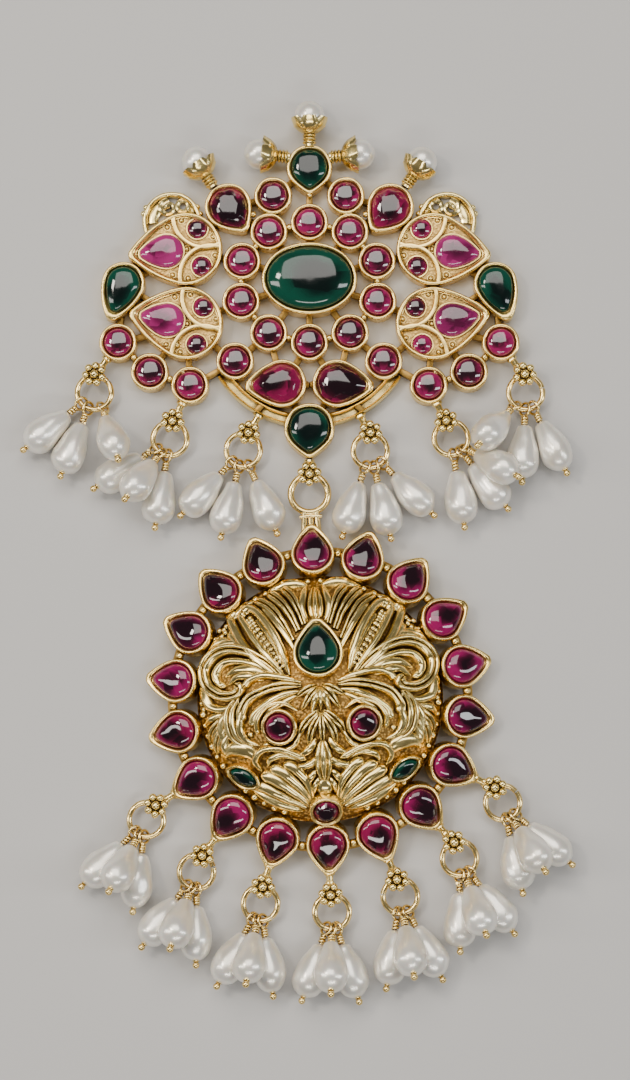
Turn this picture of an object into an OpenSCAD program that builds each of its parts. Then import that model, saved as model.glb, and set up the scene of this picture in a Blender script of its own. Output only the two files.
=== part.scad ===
// Braid ornament of gilt metal: a stone-set plaque, a domed round pendant and pearl drops.
// It lies on its back. +Z is the front, +Y the upper edge, and the origin is the centre of the plaque's back.

/* [Plaque] */
// Width of the plaque over its two side emeralds
plaque_w = 67.6; // [62:0.2:74]
// Thickness of the plaque's back
plate_t = 1; // [0.8:0.05:1.3]
// Height of an ordinary bezel
bezel_h = 3; // [2.6:0.1:4]
// Height of the centre bezel
centre_h = 4.2; // [3.6:0.1:5.2]
// Thickness of a bezel's wall
bezel_wall = 0.72; // [0.5:0.02:0.85]
// Gap between a stone and its bezel
stone_gap = 0.08; // [0.05:0.01:0.15]
// Width of the bars that join the bezels
bar_w = 1.5; // [1:0.1:2]
// Height of the bars that join the bezels
bar_h = 2; // [1.4:0.1:2.4]
// Radius of the crescent's outer ridge
crescent_r = 17.4; // [16.6:0.1:18]
// Width of the crescent
crescent_w = 2.1; // [1.5:0.1:2.4]

/* [Stones] */
// Length of the centre oval cabochon
oval_l = 13.8; // [12:0.1:14.4]
// Width of the centre oval cabochon
oval_w = 10.2; // [8.6:0.1:10.6]
// How far a stone stands above its bezel
stone_rise = 0.9; // [0.5:0.1:1.4]
// Diameter of a round ruby of the plaque
round_d = 4.5; // [3.8:0.1:4.8]
// Diameter of a small round ruby in a leaf frame
seed_d = 3.3; // [2.6:0.1:3.5]
// Width of the top emerald
top_w = 5.8; // [5:0.1:6.2]
// Length of the top emerald
top_l = 6.5; // [6:0.1:7]
// Width of the bottom emerald
bottom_w = 6.5; // [5.6:0.1:7]
// Length of the bottom emerald
bottom_l = 7.3; // [6.8:0.1:8]
// Width of a side emerald
side_w = 5.4; // [4.6:0.1:6]
// Length of a side emerald
side_l = 8; // [7:0.1:8.8]
// Width of an upper pear ruby
upper_w = 6; // [5.2:0.1:6.4]
// Length of an upper pear ruby
upper_l = 7.2; // [6.6:0.1:7.8]
// Width of a lower pear ruby
lower_w = 6.2; // [5.4:0.1:6.6]
// Length of a lower pear ruby
lower_l = 8.2; // [7.4:0.1:8.8]
// Width of the pear ruby in a leaf frame
leaf_stone_w = 5.5; // [4.6:0.1:5.7]
// Length of the pear ruby in a leaf frame
leaf_stone_l = 7.5; // [6.6:0.1:7.8]

/* [Leaf frames] */
// Width of a leaf frame
leaf_w = 11.9; // [11.6:0.1:12.2]
// Length of a leaf frame
leaf_l = 15.6; // [15:0.1:16.2]
// Height of the gold ground inside a leaf frame
leaf_ground_h = 2.3; // [1.8:0.1:2.5]
// Thickness of the dividing walls in a leaf frame
leaf_wall = 0.55; // [0.4:0.05:0.7]
// Radius of a granule on a leaf frame
granule_r = 0.36; // [0.25:0.02:0.42]

/* [Pearl studs] */
// Diameter of a stud pearl
stud_d = 5; // [4.2:0.1:5.2]
// Length of a stud's ringed stem
stud_stem_l = 1.9; // [1.4:0.1:2.4]
// Radius of a stud's stem
stud_stem_r = 0.8; // [0.6:0.05:1]
// Length of a stud's petal cup
stud_cup_l = 2.9; // [2.6:0.1:3.1]
// Thickness of a stud's petal cup
stud_wall = 0.4; // [0.3:0.05:0.5]

/* [Hooks and rings] */
// Radius of a tie loop at the middle of its wire
tie_r = 4.3; // [4:0.1:4.6]
// Radius of a tie loop's wire
tie_wire = 0.5; // [0.4:0.05:0.55]
// Height of the jump rings above the back
ring_z = 1.75; // [1.65:0.05:2.2]
// Radius of a jump ring at the middle of its wire
ring_r = 2.75; // [2.6:0.05:3]
// Radius of a jump ring's wire
ring_wire = 0.45; // [0.35:0.02:0.5]
// Radius of a hook's loop at the middle of its wire
loop_r = 1.15; // [1.1:0.05:1.3]
// Radius of a hook loop's wire
loop_wire = 0.35; // [0.28:0.01:0.4]
// Length of a hook's stem
stem_l = 2.3; // [2:0.1:2.8]
// Radius of a hook's stem
stem_r = 0.6; // [0.45:0.05:0.7]
// Radius of a granule of a rosette
bead_r = 0.64; // [0.58:0.01:0.7]
// Radius of the link ring between plaque and pendant
link_r = 3; // [2.8:0.1:3.3]
// Radius of the link ring's wire
link_wire = 0.55; // [0.45:0.05:0.6]
// Length of the stem of the centre hook
link_stem_l = 1.3; // [1:0.1:1.8]

/* [Pearl drops] */
// Diameter of a drop pearl
pearl_d = 5.4; // [4.8:0.1:5.5]
// Length of a drop pearl
pearl_l = 8.8; // [8:0.1:9.2]
// Radius of a drop pearl's narrow end
pearl_tip_r = 1.05; // [0.8:0.05:1.2]
// Radius of the hole through a drop pearl
drill_r = 0.42; // [0.4:0.01:0.5]
// Radius of a drop's eye at the middle of its wire
eye_r = 1.05; // [1:0.05:1.15]
// Radius of a drop's wire
eye_wire = 0.22; // [0.18:0.01:0.24]
// Length of the wrapped collar between eye and pearl
collar_l = 1.5; // [1.3:0.1:1.8]
// Radius of the ball at a drop's end
ball_r = 0.55; // [0.48:0.01:0.65]

/* [Pendant] */
// Distance from the link ring's centre to the pendant's centre
pendant_drop = 33; // [32.6:0.1:34.5]
// Turn of the pendant as it lies
pendant_turn = 3; // [2:0.5:4]
// Radius of the dome at its foot
dome_r = 19.2; // [18.4:0.1:19.4]
// Rise of the dome above its foot
dome_rise = 7; // [6:0.1:8]
// Height of the dome's foot above the floor
dome_foot_z = 3.6; // [3.2:0.1:4]
// Thickness of the dome's wall
dome_t = 1.1; // [0.9:0.1:1.4]
// Height of the leaf relief on the dome
relief_h = 0.75; // [0.4:0.05:1]
// Number of pear rubies round the dome
petal_count = 18; // [18:1:18]
// Width of a petal ruby
petal_w = 5.4; // [4.8:0.1:5.6]
// Length of a petal ruby
petal_l = 7; // [6.6:0.1:7.2]
// Angle at which the petals fall away outwards
petal_tilt = 20; // [14:1:22]
// Height of a petal's bezel
petal_h = 2.4; // [2.1:0.1:2.8]
// Width of the dome's emerald
dome_emerald_w = 6.4; // [5.6:0.1:6.8]
// Length of the dome's emerald
dome_emerald_l = 8.1; // [7.4:0.1:8.6]
// Diameter of the two round rubies of the dome
dome_ruby_d = 4.2; // [3.6:0.1:4.6]
// Length of a marquise emerald
marquise_l = 4.6; // [4:0.1:5]
// Width of a marquise emerald
marquise_w = 2.6; // [2.2:0.1:3]
// Diameter of the low ruby at the dome's edge
low_ruby_d = 3.7; // [3.2:0.1:4]

/* [Hidden] */
$fn = 48;
gold = "#d9a441";
ruby = "#b01050";
emerald = "#06402c";
pearl = "#ece6d8";

// Places on the plaque, right half, as [x, y] in hundredths of the plaque's width.
flower_top = [0, 13.9];
flower_high = [9.7, 11.6];
flower_east = [16.1, 4.5];
flower_low_east = [16.3, -5.2];
flower_low = [9.7, -12.8];
flower_bottom = [0, -15.1];
outer_top = [8.7, 20.3];
crescent_end = [17.7, -19.6];
edge_side = [45.6, -15.1];
edge_low = [38, -22.2];
edge_inner = [28.4, -25.4];
centre_rounds = [flower_top, flower_bottom];
paired_rounds = [flower_high, flower_east, flower_low_east, flower_low, outer_top, crescent_end,
                 edge_side, edge_low, edge_inner];
// Pear settings, as [x, y, heading of the tip].
top_place = [0, 27.2, -90];
bottom_place = [0, -35.7, -90];
side_place = [44.4, -0.9, -71];
upper_place = [19.4, 17.7, -126];
lower_place = [6.5, -25, -5];
upper_leaf = [29.6, 7.4, -6.6];
lower_leaf = [29.4, -10.5, 10];
crescent_place = [0, -9.7];
crescent_from = -148;
tie_place = [33, 14.6];
// Bars between settings, right half; those on the middle line are mirrored onto themselves.
bars = [[[0, 0], flower_top], [[0, 0], flower_high], [[0, 0], flower_east],
        [[0, 0], flower_low_east], [[0, 0], flower_low], [[0, 0], flower_bottom],
        [flower_top, flower_high], [flower_high, flower_east], [flower_east, flower_low_east],
        [flower_low_east, flower_low], [flower_low, flower_bottom], [outer_top, flower_high],
        [outer_top, top_place], [top_place, flower_top], [outer_top, upper_place],
        [upper_place, flower_high], [upper_place, upper_leaf], [flower_east, upper_leaf],
        [flower_low_east, lower_leaf], [upper_leaf, lower_leaf], [upper_leaf, side_place],
        [lower_leaf, side_place], [lower_leaf, edge_side], [side_place, edge_side],
        [edge_side, edge_low], [edge_low, edge_inner], [edge_low, lower_leaf],
        [edge_inner, lower_leaf], [crescent_end, edge_inner], [crescent_end, flower_low],
        [crescent_end, lower_leaf], [lower_place, flower_low], [lower_place, flower_bottom],
        [lower_place, [0, -25]], [lower_place, [13.2, -32]], [lower_place, bottom_place]];
// Granules on a leaf frame, as [along, across] in shares of its half width.
leaf_granules = [[-0.78, 0.24], [-0.78, -0.24], [0.04, 0.8], [0.04, -0.8], [0.42, 0.68],
                 [0.42, -0.68], [-0.03, 0], [1.36, 0]];
// Pearl studs, as [x, y, heading].
studs = [[0, 32.7, 90], [5.2, 29.6, 6], [-5.2, 29.6, 174], [23.2, 22.7, 57], [-23.2, 22.7, 123]];

// Hooks of the plaque, as [x, y, heading, distance from there to the stem's root].
round_out = round_d / 2 + stone_gap + bezel_wall;
plaque_hooks = [[-edge_side[0], edge_side[1], -125, round_out],
                [-edge_inner[0], edge_inner[1], -115, round_out],
                [0, crescent_place[1], -118, crescent_r], [0, crescent_place[1], -62, crescent_r],
                [edge_inner[0], edge_inner[1], -65, round_out],
                [edge_side[0], edge_side[1], -55, round_out]];
// Jump rings and drops: [heading of the ring, then for each drop its place on the ring, its
// heading, and 1 where it lies on its neighbours].
plaque_drops = [[-92, [[-140, -140, 0], [-111, -111, 0], [-60, -72, 1]]],
                [-100, [[-146, -146, 0], [-99, -99, 0], [-123, -123, 1]]],
                [-108, [[-133, -133, 0], [-104, -104, 0], [-68, -68, 0]]],
                [-90, [[-108, -108, 0], [-77, -77, 0], [-46, -46, 0]]],
                [-72, [[-82, -82, 0], [-52, -52, 0], [-34, -34, 1]]],
                [-84, [[-131, -131, 1], [-93, -93, 0], [-64, -64, 0]]]];
pendant_drops = [[-60, [[-78, -78, 0], [-60, -60, 1], [-42, -42, 0]]],
                 [-70, [[-90, -90, 0], [-72, -72, 1], [-54, -54, 0]]],
                 [-78, [[-99, -99, 0], [-81, -81, 1], [-63, -63, 0]]],
                 [-85, [[-109, -109, 0], [-91, -91, 1], [-73, -73, 0]]],
                 [-98, [[-118, -118, 0], [-100, -100, 1], [-82, -82, 0]]],
                 [-110, [[-126, -126, 0], [-108, -108, 1], [-90, -90, 0]]],
                 [-125, [[-134, -134, 0], [-116, -116, 1], [-98, -98, 0]]]];
first_hooked_petal = 6;
perch_climb = 36;

// Relief leaves on the dome, right half, as [x, y, heading, length, width] in hundredths of its radius.
leaves = [[9, 58, 80, 34, 9], [14, 53, 67, 42, 10], [20, 48, 56, 46, 10], [18, 30, 24, 52, 12],
          [10, 19, 4, 50, 10], [12, 10, -10, 46, 9], [2, 12, -35, 24, 8], [1, 12, -56, 24, 8],
          [2, -14, -64, 26, 8], [60, 2, -72, 42, 11], [76, 0, -24, 22, 8], [74, -6, -46, 24, 8],
          [5, -76, 22, 52, 9], [7, -70, 36, 46, 9], [8, -62, 50, 32, 8], [74, 62, 20, 18, 9]];
middle_leaves = [[0, 62, 90, 33, 16], [0, 14, -90, 26, 8], [0, -9, -90, 27, 9],
                 [0, -34, -90, 38, 13], [0, -70, -90, 14, 16]];
// Open loops of the relief, as [x, y, heading, length, width].
loops = [[15, 38, 52, 64, 24]];
// Round scrolls of the relief, as [x, y, outer radius, inner radius].
scrolls = [[72, 36, 21, 14], [74, 33, 8, 0], [34, -22, 26, 20.5], [33, -52, 9, 5]];

// Shares of a cut stone's height below the girdle's top, and of its width across the table.
girdle_share = 0.62;
table_share = 0.62;
// Radius of a pear's flanks as a share of its round end's radius.
flank_share = 3;

// Places of the dome's stones in shares of its radius, their depth and the rise of their bezels.
emerald_y = 0.35;
eye = [0.34, -0.22];
marquise = [0.7, -0.6];
marquise_turn = 32;
low_y = -0.88;
set_sink = 0.4;
set_rise = 1.3;
low_rise = 2;

// Derived sizes.
drill_gap = 0.1;
stud_cup_r = stud_d / 2 + stone_gap;
stud_out_r = stud_cup_r + stud_wall;
stud_pearl_x = stud_stem_l + 0.95 * stud_cup_l;
eye_reach = eye_r + collar_l;
pearl_mid = eye_reach + pearl_l - pearl_d / 2;
flat_climb = asin((pearl_d / 2 + 0.06 - ring_z) / pearl_mid);
petal_out_r = petal_w / 2 + stone_gap + bezel_wall;
petal_tip = (petal_l - petal_w / 2) * petal_out_r / (petal_w / 2);
petal_ring_r = dome_r + petal_out_r * cos(petal_tilt) - 0.1;
petal_z = petal_tip * sin(petal_tilt);
rim_z = petal_z - 0.6;
sphere_r = (dome_r * dome_r + dome_rise * dome_rise) / (2 * dome_rise);
sphere_z = dome_foot_z + dome_rise - sphere_r;
bottom_tip = (bottom_l - bottom_w / 2) * (bottom_w / 2 + stone_gap + bezel_wall) / (bottom_w / 2);
link_loop_y = share(bottom_place[1]) - bottom_tip - link_stem_l - loop_r;
link_y = link_loop_y - link_r;

function share(v) = v * plaque_w / 100;
function at(p) = [share(p[0]), share(p[1])];
function polar(r, a) = [r * cos(a), r * sin(a)];
function stem_reach(hook) = hook[3] + stem_l + loop_r;
function hook_at(hook) = at(hook) + polar(stem_reach(hook), hook[2]);
function petal_angle(i) = 90 - 360 / petal_count * i;
function pendant_hook_at(i) = polar(petal_ring_r + petal_tip * cos(petal_tilt) + stem_l + loop_r,
                                    petal_angle(i));
function pendant_to_plaque(p) = [0, link_y] + [for (row = [[cos(pendant_turn), -sin(pendant_turn)],
    [sin(pendant_turn), cos(pendant_turn)]]) row * [p[0], p[1] - pendant_drop]];
function pendant_ring_at(i) = pendant_to_plaque(pendant_hook_at(first_hooked_petal + i));

module both_sides() {
    children();
    mirror([1, 0, 0]) children();
}

module on_side(side) {
    mirror([side < 0 ? 1 : 0, 0, 0]) children();
}

module place(p) {
    translate(at(p)) rotate(p[2]) children();
}

// Where the flank of a pear meets its round end, and the centre of the flank's arc. The round end has
// radius r about the origin, the tip is on +X, and the flank's radius is flank_share times r.
function flank_angle(r, tip) =
    acos(((2 * flank_share - 1) * r * r - tip * tip) / (2 * tip * (flank_share - 1) * r));
function flank_centre(r, tip) = -polar((flank_share - 1) * r, flank_angle(r, tip));

// A pear outline grown outwards by grow. Its flanks start a hair outside the round end, so that they
// pass it cleanly.
module pear(w, l, grow = 0) {
    r = w / 2 + grow;
    tip = (l - w / 2) * r / (w / 2);
    hair = 0.012;
    centre = flank_centre(r, tip);
    root = r * cos(flank_angle(r, tip));
    circle(r);
    intersection() {
        translate([centre[0], centre[1]]) circle(flank_share * r + hair, $fn = 96);
        translate([centre[0], -centre[1]]) circle(flank_share * r + hair, $fn = 96);
        translate([root, -r]) square([tip, 2 * r]);
    }
}

// An almond outline from the origin along +X.
module almond(l, w) {
    r = (l * l / 4 + w * w / 4) / w;
    intersection() {
        translate([l / 2, r - w / 2]) circle(r);
        translate([l / 2, w / 2 - r]) circle(r);
    }
}

module oval(l, w, grow = 0) {
    polygon([for (i = [0:39]) [(l / 2 + grow) * cos(9 * i), (w / 2 + grow) * sin(9 * i)]]);
}

module torus(r, wire) {
    rotate_extrude() translate([r, 0]) circle(wire, $fn = 24);
}

function pear_points(w, l, scale = 1) =
    let (r = w / 2, tip = l - r, a = flank_angle(r, tip), n = 12, steps = 3,
         centre = flank_centre(r, tip),
         start = atan2(-centre[1], tip - centre[0]),
         flank = [for (i = [1:steps - 1]) centre + polar(flank_share * r, start + (a - start) * i / steps)])
    scale * concat([[tip, 0]], flank, [for (i = [0:n]) polar(r, a + (360 - 2 * a) * i / n)],
                   [for (i = [len(flank) - 1:-1:0]) [flank[i][0], -flank[i][1]]]);

// A cut pear: an upright girdle, sloping facets and a flat table.
module pear_stone(w, l, h) {
    hull() {
        linear_extrude(h * girdle_share) polygon(pear_points(w, l));
        linear_extrude(h) polygon(pear_points(w, l, table_share));
    }
}

module round_stone(d, h) {
    cylinder(d = d, h = h * girdle_share, $fn = 12);
    translate([0, 0, h * girdle_share])
        cylinder(d1 = d, d2 = d * table_share, h = h * (1 - girdle_share), $fn = 12);
}

module marquise_stone(l, w, h) {
    r = (l * l / 4 + w * w / 4) / w;
    half = asin(l / 2 / r);
    arc = [for (i = [0:5]) polar(r, 90 + half - 2 * half * i / 5) - [0, r - w / 2]];
    rim = concat(arc, [for (i = [1:4]) -arc[i]]);
    hull() {
        linear_extrude(h * girdle_share) polygon(rim);
        linear_extrude(h) polygon(rim * table_share);
    }
}

module cabochon(l, w, h) {
    levels = 5;
    steepest = 78;
    hull() {
        linear_extrude(h * 0.4) oval(l, w);
        for (i = [1:levels])
            let (a = steepest * i / levels, k = 0.1 + 0.9 * cos(a))
            linear_extrude(h * (0.4 + 0.6 * sin(a) / sin(steepest))) oval(l * k, w * k);
    }
}

// A hook: stem from the edge, upright loop round the ring's wire, and a rosette of granules on it.
module hook(stem) {
    granules = 7;
    rotate([0, -90, 0]) translate([0, 0, loop_r]) cylinder(r = stem_r, h = stem + stem_r);
    rotate([90, 0, 0]) torus(loop_r, loop_wire);
    translate([0, 0, loop_r + loop_wire / 2]) {
        cylinder(r = 2 * bead_r, h = bead_r);
        for (i = [1:granules])
            rotate(360 / granules * i) translate([2.15 * bead_r, 0, bead_r]) sphere(bead_r);
        translate([0, 0, bead_r * 1.25]) sphere(bead_r * 1.2);
    }
}

module bar(a, b) {
    d = b - a;
    translate(a) rotate(atan2(d[1], d[0])) translate([0, -bar_w / 2]) square([norm(d), bar_w]);
}

// Outlines of all the plaque's ordinary settings, grown by grow.
module plaque_outlines(grow) {
    for (p = centre_rounds) translate(at(p)) circle(round_d / 2 + grow);
    place(top_place) pear(top_w, top_l, grow);
    place(bottom_place) pear(bottom_w, bottom_l, grow);
    both_sides() {
        for (p = paired_rounds) translate(at(p)) circle(round_d / 2 + grow);
        place(side_place) pear(side_w, side_l, grow);
        place(upper_place) pear(upper_w, upper_l, grow);
        place(lower_place) pear(lower_w, lower_l, grow);
    }
}

module leaf_outline(grow = 0) {
    pear(leaf_w, leaf_l, grow);
}

module leaf_walls() {
    difference() {
        leaf_outline();
        leaf_outline(-bezel_wall);
    }
    intersection() {
        leaf_outline();
        for (s = [-1, 1])
            translate([-0.3, s * 0.41] * leaf_w) difference() {
                circle(0.42 * leaf_w + leaf_wall / 2);
                circle(0.42 * leaf_w - leaf_wall / 2);
            }
    }
}

module leaf_stone_place() {
    translate([0.26 * leaf_w, 0]) children();
}

module seed_places() {
    for (s = [-1, 1]) translate([-0.19, s * 0.26] * leaf_w) children();
}

module leaf_frame() {
    linear_extrude(leaf_ground_h) leaf_outline(-bezel_wall / 2);
    linear_extrude(bezel_h) leaf_walls();
    for (g = leaf_granules)
        translate([g[0] * leaf_w / 2, g[1] * leaf_w / 2, leaf_ground_h]) sphere(granule_r, $fn = 16);
}

module leaf_pockets() {
    translate([0, 0, plate_t]) linear_extrude(bezel_h) {
        leaf_stone_place() pear(leaf_stone_w, leaf_stone_l, stone_gap);
        seed_places() circle(seed_d / 2 + stone_gap);
    }
}

module crescent() {
    sweep = -2 * (crescent_from + 90);
    translate(at(crescent_place)) rotate(crescent_from) rotate_extrude(angle = sweep, $fn = 96) {
        translate([crescent_r - crescent_w, 0]) square([crescent_w, bar_h]);
        translate([crescent_r - 0.45, bar_h]) circle(0.42);
        translate([crescent_r - crescent_w + 0.45, bar_h]) circle(0.42);
    }
}

// A stud lies along +X: ringed stem, then a cup of petals round the lower half of the pearl.
module stud_mount() {
    rings = 3;
    notches = 5;
    rotate([0, 90, 0]) {
        difference() {
            union() {
                translate([0, 0, -1]) cylinder(r = stud_stem_r, h = stud_stem_l + 1.6);
                for (i = [0:rings - 1])
                    translate([0, 0, 0.35 + 0.6 * i]) torus(stud_stem_r, 0.3);
                intersection() {
                    translate([0, 0, stud_pearl_x]) sphere(stud_out_r);
                    translate([0, 0, stud_stem_l - 0.4]) cylinder(r = stud_d, h = stud_cup_l + 0.4);
                }
            }
            translate([0, 0, stud_pearl_x]) sphere(stud_cup_r);
            for (i = [1:notches])
                rotate(360 / notches * i + 36) translate([0, 0, stud_stem_l + stud_cup_l + 0.3])
                    rotate([90, 0, 0]) cylinder(r = 1.1, h = 2 * stud_d, $fn = 24);
        }
        cylinder_from(stud_stem_l, stud_pearl_x + stud_d / 4, drill_r - drill_gap);
    }
}

module stud_pearl() {
    rotate([0, 90, 0]) difference() {
        translate([0, 0, stud_pearl_x]) sphere(stud_d / 2);
        cylinder(r = drill_r, h = stud_pearl_x + stud_d / 3);
    }
}

module at_studs() {
    for (s = studs) translate([share(s[0]), share(s[1]), stud_out_r]) rotate(s[2]) children();
}

module tie_loop() {
    translate([share(tie_place[0]), share(tie_place[1]), tie_wire]) torus(tie_r, tie_wire);
}

module plaque_setting() {
    color(gold) difference() {
        union() {
            linear_extrude(bar_h) {
                for (b = bars) bar(at(b[0]), at(b[1]));
                mirror([1, 0, 0]) for (b = bars) bar(at(b[0]), at(b[1]));
            }
            linear_extrude(bezel_h) plaque_outlines(stone_gap + bezel_wall);
            linear_extrude(centre_h) oval(oval_l, oval_w, stone_gap + bezel_wall);
            both_sides() {
                place(upper_leaf) leaf_frame();
                place(lower_leaf) leaf_frame();
                tie_loop();
            }
            crescent();
            at_studs() stud_mount();
            for (h = plaque_hooks)
                translate(concat(hook_at(h), ring_z)) rotate(h[2]) hook(stem_l);
            translate([0, link_loop_y, ring_z]) rotate(-90) hook(link_stem_l);
        }
        translate([0, 0, plate_t]) {
            linear_extrude(centre_h) plaque_outlines(stone_gap);
            linear_extrude(centre_h) oval(oval_l, oval_w, stone_gap);
        }
        both_sides() {
            place(upper_leaf) leaf_pockets();
            place(lower_leaf) leaf_pockets();
        }
    }
}

module seated() {
    translate([0, 0, plate_t + stone_gap]) children();
}

function stone_h(top) = top - plate_t - stone_gap + stone_rise;

module round_rubies() {
    color(ruby) seated() {
        for (p = centre_rounds) translate(at(p)) round_stone(round_d, stone_h(bezel_h));
        both_sides() for (p = paired_rounds)
            translate(at(p)) round_stone(round_d, stone_h(bezel_h));
    }
}

module seed_rubies() {
    color(ruby) seated() both_sides() for (p = [upper_leaf, lower_leaf])
        place(p) seed_places() round_stone(seed_d, stone_h(leaf_ground_h));
}

module centre_emerald() {
    color(emerald) seated() cabochon(oval_l, oval_w, stone_h(centre_h) + stone_rise);
}

module pear_in(p, side, w, l, shade) {
    color(shade) seated() on_side(side) place(p) pear_stone(w, l, stone_h(bezel_h));
}

module leaf_ruby(p, side) {
    color(ruby) seated() on_side(side) place(p) leaf_stone_place()
        pear_stone(leaf_stone_w, leaf_stone_l, stone_h(bezel_h));
}

module stud_pearls() {
    color(pearl) at_studs() stud_pearl();
}

// The pendant is drawn about its own centre and then laid below the plaque.
module lay_pendant() {
    translate([0, link_y, 0]) rotate(pendant_turn) translate([0, -pendant_drop, 0]) children();
}

// Stands children on the dome's surface, square to it; x and y are shares of the dome's radius.
module on_dome(x, y) {
    lean = [-asin(y * dome_r / sphere_r), asin(x * dome_r / sphere_r), 0];
    translate([0, 0, sphere_z]) rotate(lean)
        translate([0, 0, sphere_r]) children();
}

module at_petal(i) {
    rotate(petal_angle(i)) translate([petal_ring_r, 0, petal_z]) rotate([0, petal_tilt, 0])
        children();
}

module relief_half() {
    for (l = leaves) translate([l[0], l[1]] * dome_r / 100) rotate(l[2])
        almond(l[3] * dome_r / 100, l[4] * dome_r / 100);
    for (l = loops) translate([l[0], l[1]] * dome_r / 100) rotate(l[2]) difference() {
        almond(l[3] * dome_r / 100, l[4] * dome_r / 100);
        translate([0.16 * l[3] * dome_r / 100, 0])
            almond(0.68 * l[3] * dome_r / 100, 0.5 * l[4] * dome_r / 100);
    }
    for (s = scrolls) translate([s[0], s[1]] * dome_r / 100) difference() {
        circle(s[2] * dome_r / 100);
        if (s[3] > 0) circle(s[3] * dome_r / 100);
    }
}

module relief_outlines() {
    intersection() {
        circle(dome_r);
        union() {
            both_sides() relief_half();
            for (l = middle_leaves) translate([l[0], l[1]] * dome_r / 100) rotate(l[2])
                almond(l[3] * dome_r / 100, l[4] * dome_r / 100);
        }
    }
}

// The dome's wall between two radii, out to reach and down to foot.
module dome_wall(outer, inner, reach, foot) {
    rotate_extrude() intersection() {
        translate([0, sphere_z]) difference() {
            circle(outer);
            circle(inner);
        }
        translate([0, foot]) square([reach, sphere_r]);
    }
}

// The hollow dome with its raised leaves, on a plain rim that the petals meet.
module dome() {
    hollow_r = sqrt(pow(sphere_r - dome_t, 2) - pow(sphere_r - dome_rise, 2)) - 0.2;
    dome_wall(sphere_r, sphere_r - dome_t, dome_r, dome_foot_z - 0.4);
    translate([0, 0, rim_z]) rotate_extrude()
        translate([hollow_r, 0]) square([dome_r + 0.35 - hollow_r, dome_foot_z + 0.6 - rim_z]);
    relief();
}

module relief() {
    intersection() {
        dome_wall(sphere_r + relief_h, sphere_r - dome_t / 2, dome_r - 0.3, dome_foot_z);
        translate([0, 0, dome_foot_z]) linear_extrude(dome_rise + 3) relief_outlines();
    }
}

module dome_settings(grow, from, up) {
    on_dome(0, emerald_y) translate([0, 0, from]) linear_extrude(up - from)
        rotate(90) pear(dome_emerald_w, dome_emerald_l, grow);
    both_sides() {
        on_dome(eye[0], eye[1]) translate([0, 0, from]) linear_extrude(up - from)
            circle(dome_ruby_d / 2 + grow);
        on_dome(marquise[0], marquise[1]) translate([0, 0, from]) linear_extrude(up - from)
            rotate(marquise_turn) translate([-marquise_l / 2 - grow * 1.6, 0])
                almond(marquise_l + 3.2 * grow, marquise_w + 2 * grow);
    }
    on_dome(0, low_y) translate([0, 0, from])
        linear_extrude(up - from + low_rise - set_rise) circle(low_ruby_d / 2 + grow);
}

module petal_cup() {
    linear_extrude(petal_h) pear(petal_w, petal_l, stone_gap + bezel_wall);
}

module petal_pocket() {
    translate([0, 0, plate_t]) linear_extrude(petal_h) pear(petal_w, petal_l, stone_gap);
}

module link_ring() {
    fork = pendant_drop - petal_ring_r;
    translate([0, pendant_drop, ring_z]) torus(link_r, link_wire);
    for (s = [-1, 0, 1])
        translate([s * 1.1, petal_ring_r + 0.8, ring_z - 0.45])
            cube([1, fork - link_r - 0.4 - abs(s) * 0.3, 0.9]);
}

module pendant_setting() {
    color(gold) lay_pendant() difference() {
        union() {
            dome();
            dome_settings(stone_gap + bezel_wall, -dome_t + 0.1, set_rise);
            for (i = [0:petal_count - 1]) at_petal(i) petal_cup();
            translate([0, 0, petal_z]) rotate_extrude($fn = 96)
                translate([petal_ring_r + 0.4, 0]) square([bar_w, bar_w * 0.9]);
            link_ring();
            for (i = [0:len(pendant_drops) - 1])
                let (a = petal_angle(first_hooked_petal + i))
                translate(concat(pendant_hook_at(first_hooked_petal + i), ring_z)) rotate(a)
                    hook(stem_l);
        }
        for (i = [0:petal_count - 1]) at_petal(i) petal_pocket();
        dome_settings(stone_gap, -set_sink, set_rise + 3);
    }
}

module petal_ruby(i) {
    color(ruby) lay_pendant() at_petal(i) seated()
        pear_stone(petal_w, petal_l, petal_h - plate_t - stone_gap + stone_rise);
}

module dome_emerald() {
    color(emerald) lay_pendant() on_dome(0, emerald_y) translate([0, 0, stone_gap - set_sink])
        rotate(90) pear_stone(dome_emerald_w, dome_emerald_l, set_sink + set_rise + stone_rise);
}

module dome_ruby(side) {
    color(ruby) lay_pendant() on_side(side) on_dome(eye[0], eye[1])
        translate([0, 0, stone_gap - set_sink])
            round_stone(dome_ruby_d, set_sink + set_rise + stone_rise);
}

module marquise_emerald(side) {
    color(emerald) lay_pendant() on_side(side) on_dome(marquise[0], marquise[1])
        translate([0, 0, stone_gap - set_sink]) rotate(marquise_turn)
            marquise_stone(marquise_l, marquise_w, set_sink + set_rise + stone_rise / 2);
}

module low_ruby() {
    color(ruby) lay_pendant() on_dome(0, low_y) translate([0, 0, stone_gap - set_sink])
        round_stone(low_ruby_d, set_sink + low_rise + stone_rise);
}

// A jump ring round the hook at hook_xy; the first value of drops is its heading from there.
module jump_ring(hook_xy, drops) {
    translate(concat(hook_xy + polar(ring_r, drops[0]), ring_z)) torus(ring_r, ring_wire);
}

// Lays children along each drop of a ring, from the middle of its eye.
module at_drops(hook_xy, drops) {
    centre = hook_xy + polar(ring_r, drops[0]);
    for (d = drops[1])
        translate(concat(centre + polar(ring_r, d[0]), ring_z)) rotate(d[1])
            rotate([0, d[2] == 1 ? -perch_climb : -flat_climb, 0]) children();
}

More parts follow.
